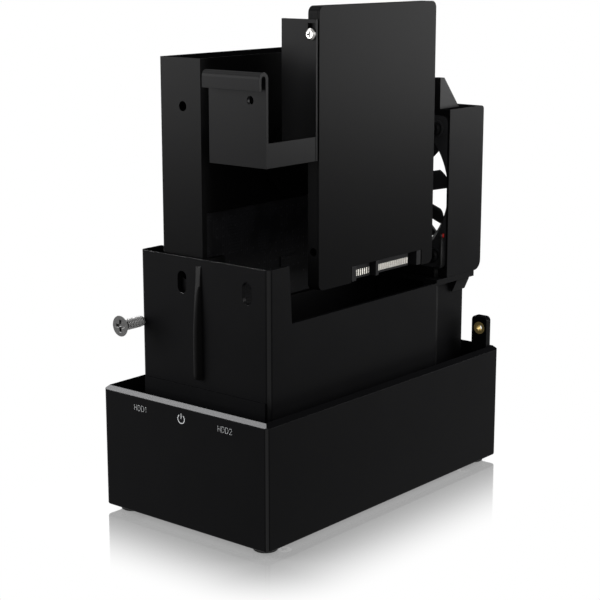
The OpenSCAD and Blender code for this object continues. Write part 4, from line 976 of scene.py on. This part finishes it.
class ENCLOSURE_OT_lamps(Operator):
    """Build the lamp board behind the front, with its lights and ribbon"""

    bl_idname = "enclosure.lamps"
    bl_label = "Lamp board"

    def execute(self, context):
        finished_piece("led_board", "circuit_board", solder_mask("X", "Z"), 0)
        finished_piece("lamp_screws", "steel_screw", screw_steel())
        finished_piece("status_leds", "lamp", grained("lamp_lens"), 0.2 * MM)
        finished_piece("led_ribbon", "ribbon", ribbon_sleeve())
        return {"FINISHED"}


# Drives and tray

CONTACT_WIDTH = 0.7  # the share of a contact's width that is drawn
CONTACT_HEIGHT = 0.84  # and of its height
# how far from the drive's front left corner its painted highlight reaches
HIGHLIGHT_REACH = 0.7 * MM


def narrow_contacts(mesh):
    """Draw every contact in along the row and at its ends, so that the plug shows between."""
    waiting = set(mesh.verts)
    while waiting:
        group = [waiting.pop()]
        for vert in group:  # which grows on the way
            for other in (edge.other_vert(vert) for edge in vert.link_edges):
                if other in waiting:
                    waiting.remove(other)
                    group.append(other)
        middle = sum((vert.co for vert in group), Vector()) / len(group)
        for vert in group:
            vert.co.y = middle.y + (vert.co.y - middle.y) * CONTACT_WIDTH
            vert.co.z = middle.z + (vert.co.z - middle.z) * CONTACT_HEIGHT


def drive_end(name, body):
    """The board, plug and contacts at the end of a drive."""
    mask = solder_mask("Y", "Z", "drive_board_colour")
    finished_piece(name + "_board", "circuit_board", mask, 0, body)
    finished_piece(
        name + "_plug", "black_plastic", grained("socket_plastic"), body=body)
    finished_piece(
        name + "_contacts", "gold_contact", grained("contact_gold"), 0, body,
        shaped=narrow_contacts)


class ENCLOSURE_OT_large_drive(Operator):
    """Build the large drive in the left bay"""

    bl_idname = "enclosure.large_drive"
    bl_label = "Large drive"

    def execute(self, context):
        left, front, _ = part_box("hdd_body")[0]
        # Faces that look up wear the sheenless copies, as painted shade
        for node, slot, finish, width, top in (
                ("hdd_body", "drive_casting", drive_casting(), 0.3 * MM, drive_casting(0.0)),
                ("hdd_lid", "coated_sheet", drive_sheet(), 0.6 * MM, drive_sheet(0.0))):
            piece = finished_piece(node, slot, finish, width, "large_drive", top)
            # The front left edge is painted pale, as a highlight
            wear(piece, grained("bright_edge"), faces_at(
                piece, (-1, -1, 0), 0.8,
                lambda place: place.x < left + HIGHLIGHT_REACH and place.y < front + HIGHLIGHT_REACH))
        finished_piece(
            "hdd_lid_screws", "steel_screw", screw_steel(), None, "large_drive")
        drive_end("hdd", "large_drive")
        return {"FINISHED"}


class ENCLOSURE_OT_small_drive(Operator):
    """Build the small drive on its tray"""

    bl_idname = "enclosure.small_drive"
    bl_label = "Small drive"

    def execute(self, context):
        # Faces that look up wear the sheenless copy, as painted shade
        for node, width in (("ssd_case", detail().moulded_edge), ("ssd_cover", 0.12 * MM)):
            finished_piece(
                node, "drive_casting", drive_sheet(), width, "drive_on_tray", drive_sheet(0.0))
        drive_end("ssd", "drive_on_tray")
        return {"FINISHED"}


class ENCLOSURE_OT_tray(Operator):
    """Build the bent sheet tray that carries the small drive, and its screw"""

    bl_idname = "enclosure.tray"
    bl_label = "Drive tray"

    def execute(self, context):
        # Faces that look up wear the sheenless copy, as painted shade
        finished_piece(
            "drive_tray", "coated_sheet", coated_sheet(), detail().sheet_edge, "drive_on_tray",
            coated_sheet(0.0))
        screw = finished_piece(
            "tray_screw", "steel_screw", screw_steel(), body="drive_on_tray")
        sides = [face for face in screw.data.polygons if abs(face.normal.y) < 0.5]
        wear(screw, grained("black_steel"), sides)
        return {"FINISHED"}


# Fan

BRACKET_HEIGHT = 11.5 * MM
WEB_SETBACK = 0.1 * MM
WEB_DROP = 0.15 * MM
WEB_DEPTH = 1.2 * MM
WEB_SPAN = (21.3 * MM, 24.4 * MM)
WEB_CHAMFER = 1.3 * MM


def bracket_web(side, way, low):
    """The narrow front flange beside one of the fan housing's triangular brackets."""
    near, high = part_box("fan_shroud")[0][1] + WEB_SETBACK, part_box("fan_shroud")[1][2] - WEB_DROP
    left, right = WEB_SPAN
    outline = (
        (left, low), (right, low), (right, high), (left + WEB_CHAMFER, high),
        (left, high - WEB_CHAMFER))
    mesh = bmesh.new()
    skin(mesh, [
        [mesh.verts.new((way * across, along, up)) for across, up in outline]
        for along in (near, near + WEB_DEPTH)])
    bmesh.ops.recalc_face_normals(mesh, faces=mesh.faces)
    soften(mesh, 0.2 * MM)
    # The web wears the sheenless plastic, painted dark as shade
    level_shading(new_piece("bracket_web_" + side, mesh, "black_plastic", moulded_plastic(0.0)))


class ENCLOSURE_OT_fan(Operator):
    """Build the fan, its housing and its screws"""

    bl_idname = "enclosure.fan"
    bl_label = "Fan and housing"

    def execute(self, context):
        # Faces that look up wear the sheenless copy, as painted shade
        shroud = finished_piece(
            "fan_shroud", "black_plastic", moulded_plastic(0.016), detail().moulded_edge,
            top=moulded_plastic(0.0))
        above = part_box("fan_shroud")[1][2] - BRACKET_HEIGHT
        # The brackets' sides wear a copy with more sheen, as painted light
        wear(shroud, moulded_plastic(0.036), faces_at(
            shroud, (1, 0, 0), 0.9, lambda place: place.z > above))
        bracket_web("left", -1, above)
        bracket_web("right", 1, above)
        finished_pieces(
            ("fan_frame", "black_plastic", grained("fan_plastic"), 0.2 * MM),
            ("fan_rotor", "black_plastic", grained("fan_plastic"), 0.15 * MM, "fan_wheel"),
            ("fan_shaft", "bright_steel", grained("bright_shield"), None, "fan_wheel"),
            ("fan_stator", "copper_coil", copper_winding()),
            ("fan_screws", "black_screw", coated_sheet()))
        return {"FINISHED"}


LEAD_RADIUS = 0.6 * MM
LEAD_STEP = 83.0 * MM
LEAD_INSET = 4.4 * MM
LEAD_BEND = 1.2 * MM
BARE_LENGTH = 1.4 * MM
BARE_SHARE = 0.8  # a bare wire's thickness as a share of its sleeve's
SLACK = 0.98  # what is drawn of the lead's radius, so that it stays inside its box


def tube(mesh, points, radius, sides=14):
    """A round tube of constant radius through points."""
    rings = []
    side = None
    for index, here in enumerate(points):
        ahead, behind = points[min(index + 1, len(points) - 1)], points[max(index - 1, 0)]
        along = (ahead - behind).normalized()
        if side is None:
            side = along.orthogonal().normalized()
        side = (side - along * side.dot(along)).normalized()
        other = along.cross(side)
        rings.append([
            mesh.verts.new(here + radius * (cosine * side + sine * other))
            for cosine, sine in circle(sides)])
    skin(mesh, rings)


def eased(points, reach, steps=6):
    """The same route with its corners rounded off over a distance."""
    route = [points[0]]
    for before, here, after in zip(points, points[1:], points[2:]):
        start, end = (
            here + (other - here).normalized() * min(reach, (other - here).length / 2)
            for other in (before, after))
        for step in range(steps + 1):
            share = step / steps
            route.append(start.lerp(here, share).lerp(here.lerp(end, share), share))
    return route + [points[-1]]


class ENCLOSURE_OT_lead(Operator):
    """Run the fan's two wires down its frame and through the shelf, in their black sleeves"""

    bl_idname = "enclosure.lead"
    bl_label = "Fan lead"

    def execute(self, context):
        low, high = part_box("fan_lead")
        outer = high[0] - LEAD_RADIUS
        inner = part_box("cradle")[1][0] - LEAD_INSET
        foot = low[2] + LEAD_RADIUS
        pieces = []
        for name, colour, place in (("red", (0.30, 0.012, 0.010), high[1] - LEAD_RADIUS),
                                    ("black", (0.010, 0.010, 0.010), low[1] + LEAD_RADIUS)):
            corners = [Vector((x, place, z)) for x, z in (
                (outer, high[2]), (outer, high[2] - BARE_LENGTH), (outer, LEAD_STEP),
                (inner, LEAD_STEP), (inner, foot), (low[0], foot))]
            for part, route, share, finish in (
                    ("wire", corners[:2], BARE_SHARE, wire_sleeve(name, colour)),
                    ("sleeve", eased(corners[1:], LEAD_BEND), 1.0,
                     wire_sleeve("sleeve", (0.004, 0.004, 0.004)))):
                mesh = bmesh.new()
                tube(mesh, route, LEAD_RADIUS * share * SLACK)
                for face in mesh.faces:
                    face.smooth = len(face.verts) == 4
                pieces.append(new_piece("fan_" + part + "_" + name, mesh, "wire", finish))
        for piece in pieces:
            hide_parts("fan_lead")
        return {"FINISHED"}


# Loose screw

THREAD_ROOT = 1.88 * MM
THREAD_CREST = 2.1 * MM
HEAD_HEIGHT = 2.4 * MM
TIP_SHARE = 0.8
# How light the zinc is painted: the head dark as shade, its underside and the shank lighter as
# light
HEAD_PAINTED_SHADE, UNDERSIDE_PAINTED_LIGHT, SHANK_PAINTED_LIGHT = 0.085, 0.6, 0.27


def screw_thread(mesh, tip, run, root, sides=28):
    """A helical ridge round the shank, along y from the tip towards the head."""
    pitch = detail().thread_pitch
    steps = int(run / pitch * sides)
    rings = []
    for step in range(steps + 1):
        turn = 2 * math.pi * step / sides
        growth = min(1.0, step / (sides * 1.5), (steps - step) / (sides * 0.6) + 0.02)
        crest = root + (THREAD_CREST - root) * growth
        rings.append([
            mesh.verts.new((
                tip[0] + radius * math.cos(turn), tip[1] - run * step / steps - shift * pitch,
                tip[2] + radius * math.sin(turn)))
            for shift, radius in ((-0.36, root), (-0.08, crest), (0.08, crest), (0.36, root))])
    skin(mesh, rings)


def turned_profile(mesh, centre, outline, sides=40):
    """A solid of revolution about an axis along y, from pairs of distance and radius."""
    skin(mesh, [
        [mesh.verts.new((
            centre.x + radius * cosine, centre.y + distance, centre.z + radius * sine))
         for cosine, sine in (circle(sides) if radius else [(0, 0)])]
        for distance, radius in outline], capped=False)


class ENCLOSURE_OT_loose_screw(Operator):
    """Build the taken-out tray screw with its thread, rounded head and cross recess"""

    bl_idname = "enclosure.loose_screw"
    bl_label = "Loose screw"

    def execute(self, context):
        low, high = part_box("loose_screw")
        centre = Vector(((low[0] + high[0]) / 2, 0, (low[2] + high[2]) / 2))
        neck, tip = low[1] + HEAD_HEIGHT, high[1]
        head = node_mesh("loose_screw")
        bmesh.ops.bisect_plane(
            head, geom=head.verts[:] + head.edges[:] + head.faces[:], dist=0.001 * MM,
            plane_co=(0, neck, 0), plane_no=(0, 1, 0), clear_outer=True)
        rim = [edge for edge in head.edges if len(edge.link_faces) == 1]
        if not rim:
            raise RuntimeError("the loose screw's head wasn't cut from its shank")
        bmesh.ops.holes_fill(head, edges=rim)
        soften(head, detail().fine_edge * 1.5)
        shank = bmesh.new()
        turned_profile(shank, centre, (
            (neck - 0.3 * MM, 0), (neck - 0.3 * MM, THREAD_ROOT + 0.06 * MM),
            (neck + 0.2 * MM, THREAD_ROOT + 0.03 * MM), (neck + 0.6 * MM, THREAD_ROOT),
            (tip - 0.4 * MM, THREAD_ROOT), (tip, THREAD_ROOT * TIP_SHARE), (tip, 0)))
        screw_thread(
            shank, (centre.x, tip - 0.5 * MM, centre.z), tip - neck - 0.6 * MM,
            THREAD_ROOT - 0.02 * MM)
        bmesh.ops.recalc_face_normals(shank, faces=shank.faces)
        for face in shank.faces:
            face.smooth = True
        for name, mesh, level in (("head", head, HEAD_PAINTED_SHADE), ("shank", shank, SHANK_PAINTED_LIGHT)):
            piece = new_piece("loose_screw_" + name, mesh, "steel_screw", dark_zinc(level))
            if name == "head":
                # The head's underside is painted lighter, as light
                wear(piece, dark_zinc(UNDERSIDE_PAINTED_LIGHT), faces_at(piece, (0, 1, 0), 0.25))
            level_shading(piece)
            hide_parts("loose_screw")
        return {"FINISHED"}


# Panel and registration

BUILD_ORDER = (
    ENCLOSURE_OT_stage, ENCLOSURE_OT_lead, ENCLOSURE_OT_base, ENCLOSURE_OT_marks,
    ENCLOSURE_OT_bottom, ENCLOSURE_OT_cradle, ENCLOSURE_OT_boards, ENCLOSURE_OT_ports,
    ENCLOSURE_OT_lamps, ENCLOSURE_OT_large_drive, ENCLOSURE_OT_small_drive, ENCLOSURE_OT_tray,
    ENCLOSURE_OT_fan, ENCLOSURE_OT_loose_screw)
SETTINGS = (
    ("enclosure_finish", EnclosureFinish),
    ("enclosure_detail", EnclosureDetail),
    ("enclosure_stage", EnclosureStage),
)


class ENCLOSURE_PT_panel(Panel):
    """Sizes, finishes and build steps of the enclosure"""

    bl_idname = "ENCLOSURE_PT_panel"
    bl_label = "Drive enclosure"
    bl_space_type = "VIEW_3D"
    bl_region_type = "UI"
    bl_category = "Enclosure"

    def draw(self, context):
        for name, kind in SETTINGS:
            box = self.layout.box()
            box.label(text=name.split("_")[1].capitalize())
            for setting in kind.__annotations__:
                box.prop(getattr(context.scene, name), setting)
        steps = self.layout.column(align=True)
        for step in BUILD_ORDER:
            steps.operator(step.bl_idname)


def register():
    for name, kind in SETTINGS:
        bpy.utils.register_class(kind)
        setattr(bpy.types.Scene, name, PointerProperty(type=kind))
    for kind in (*BUILD_ORDER, ENCLOSURE_PT_panel):
        bpy.utils.register_class(kind)


def unregister():
    for kind in (ENCLOSURE_PT_panel, *reversed(BUILD_ORDER)):
        bpy.utils.unregister_class(kind)
    for name, kind in reversed(SETTINGS):
        delattr(bpy.types.Scene, name)
        bpy.utils.unregister_class(kind)


def main():
    register()
    for step in BUILD_ORDER:
        group, name = step.bl_idname.split(".")
        getattr(getattr(bpy.ops, group), name)()
    bpy.context.view_layer.update()


if __name__ == "__main__":
    main()
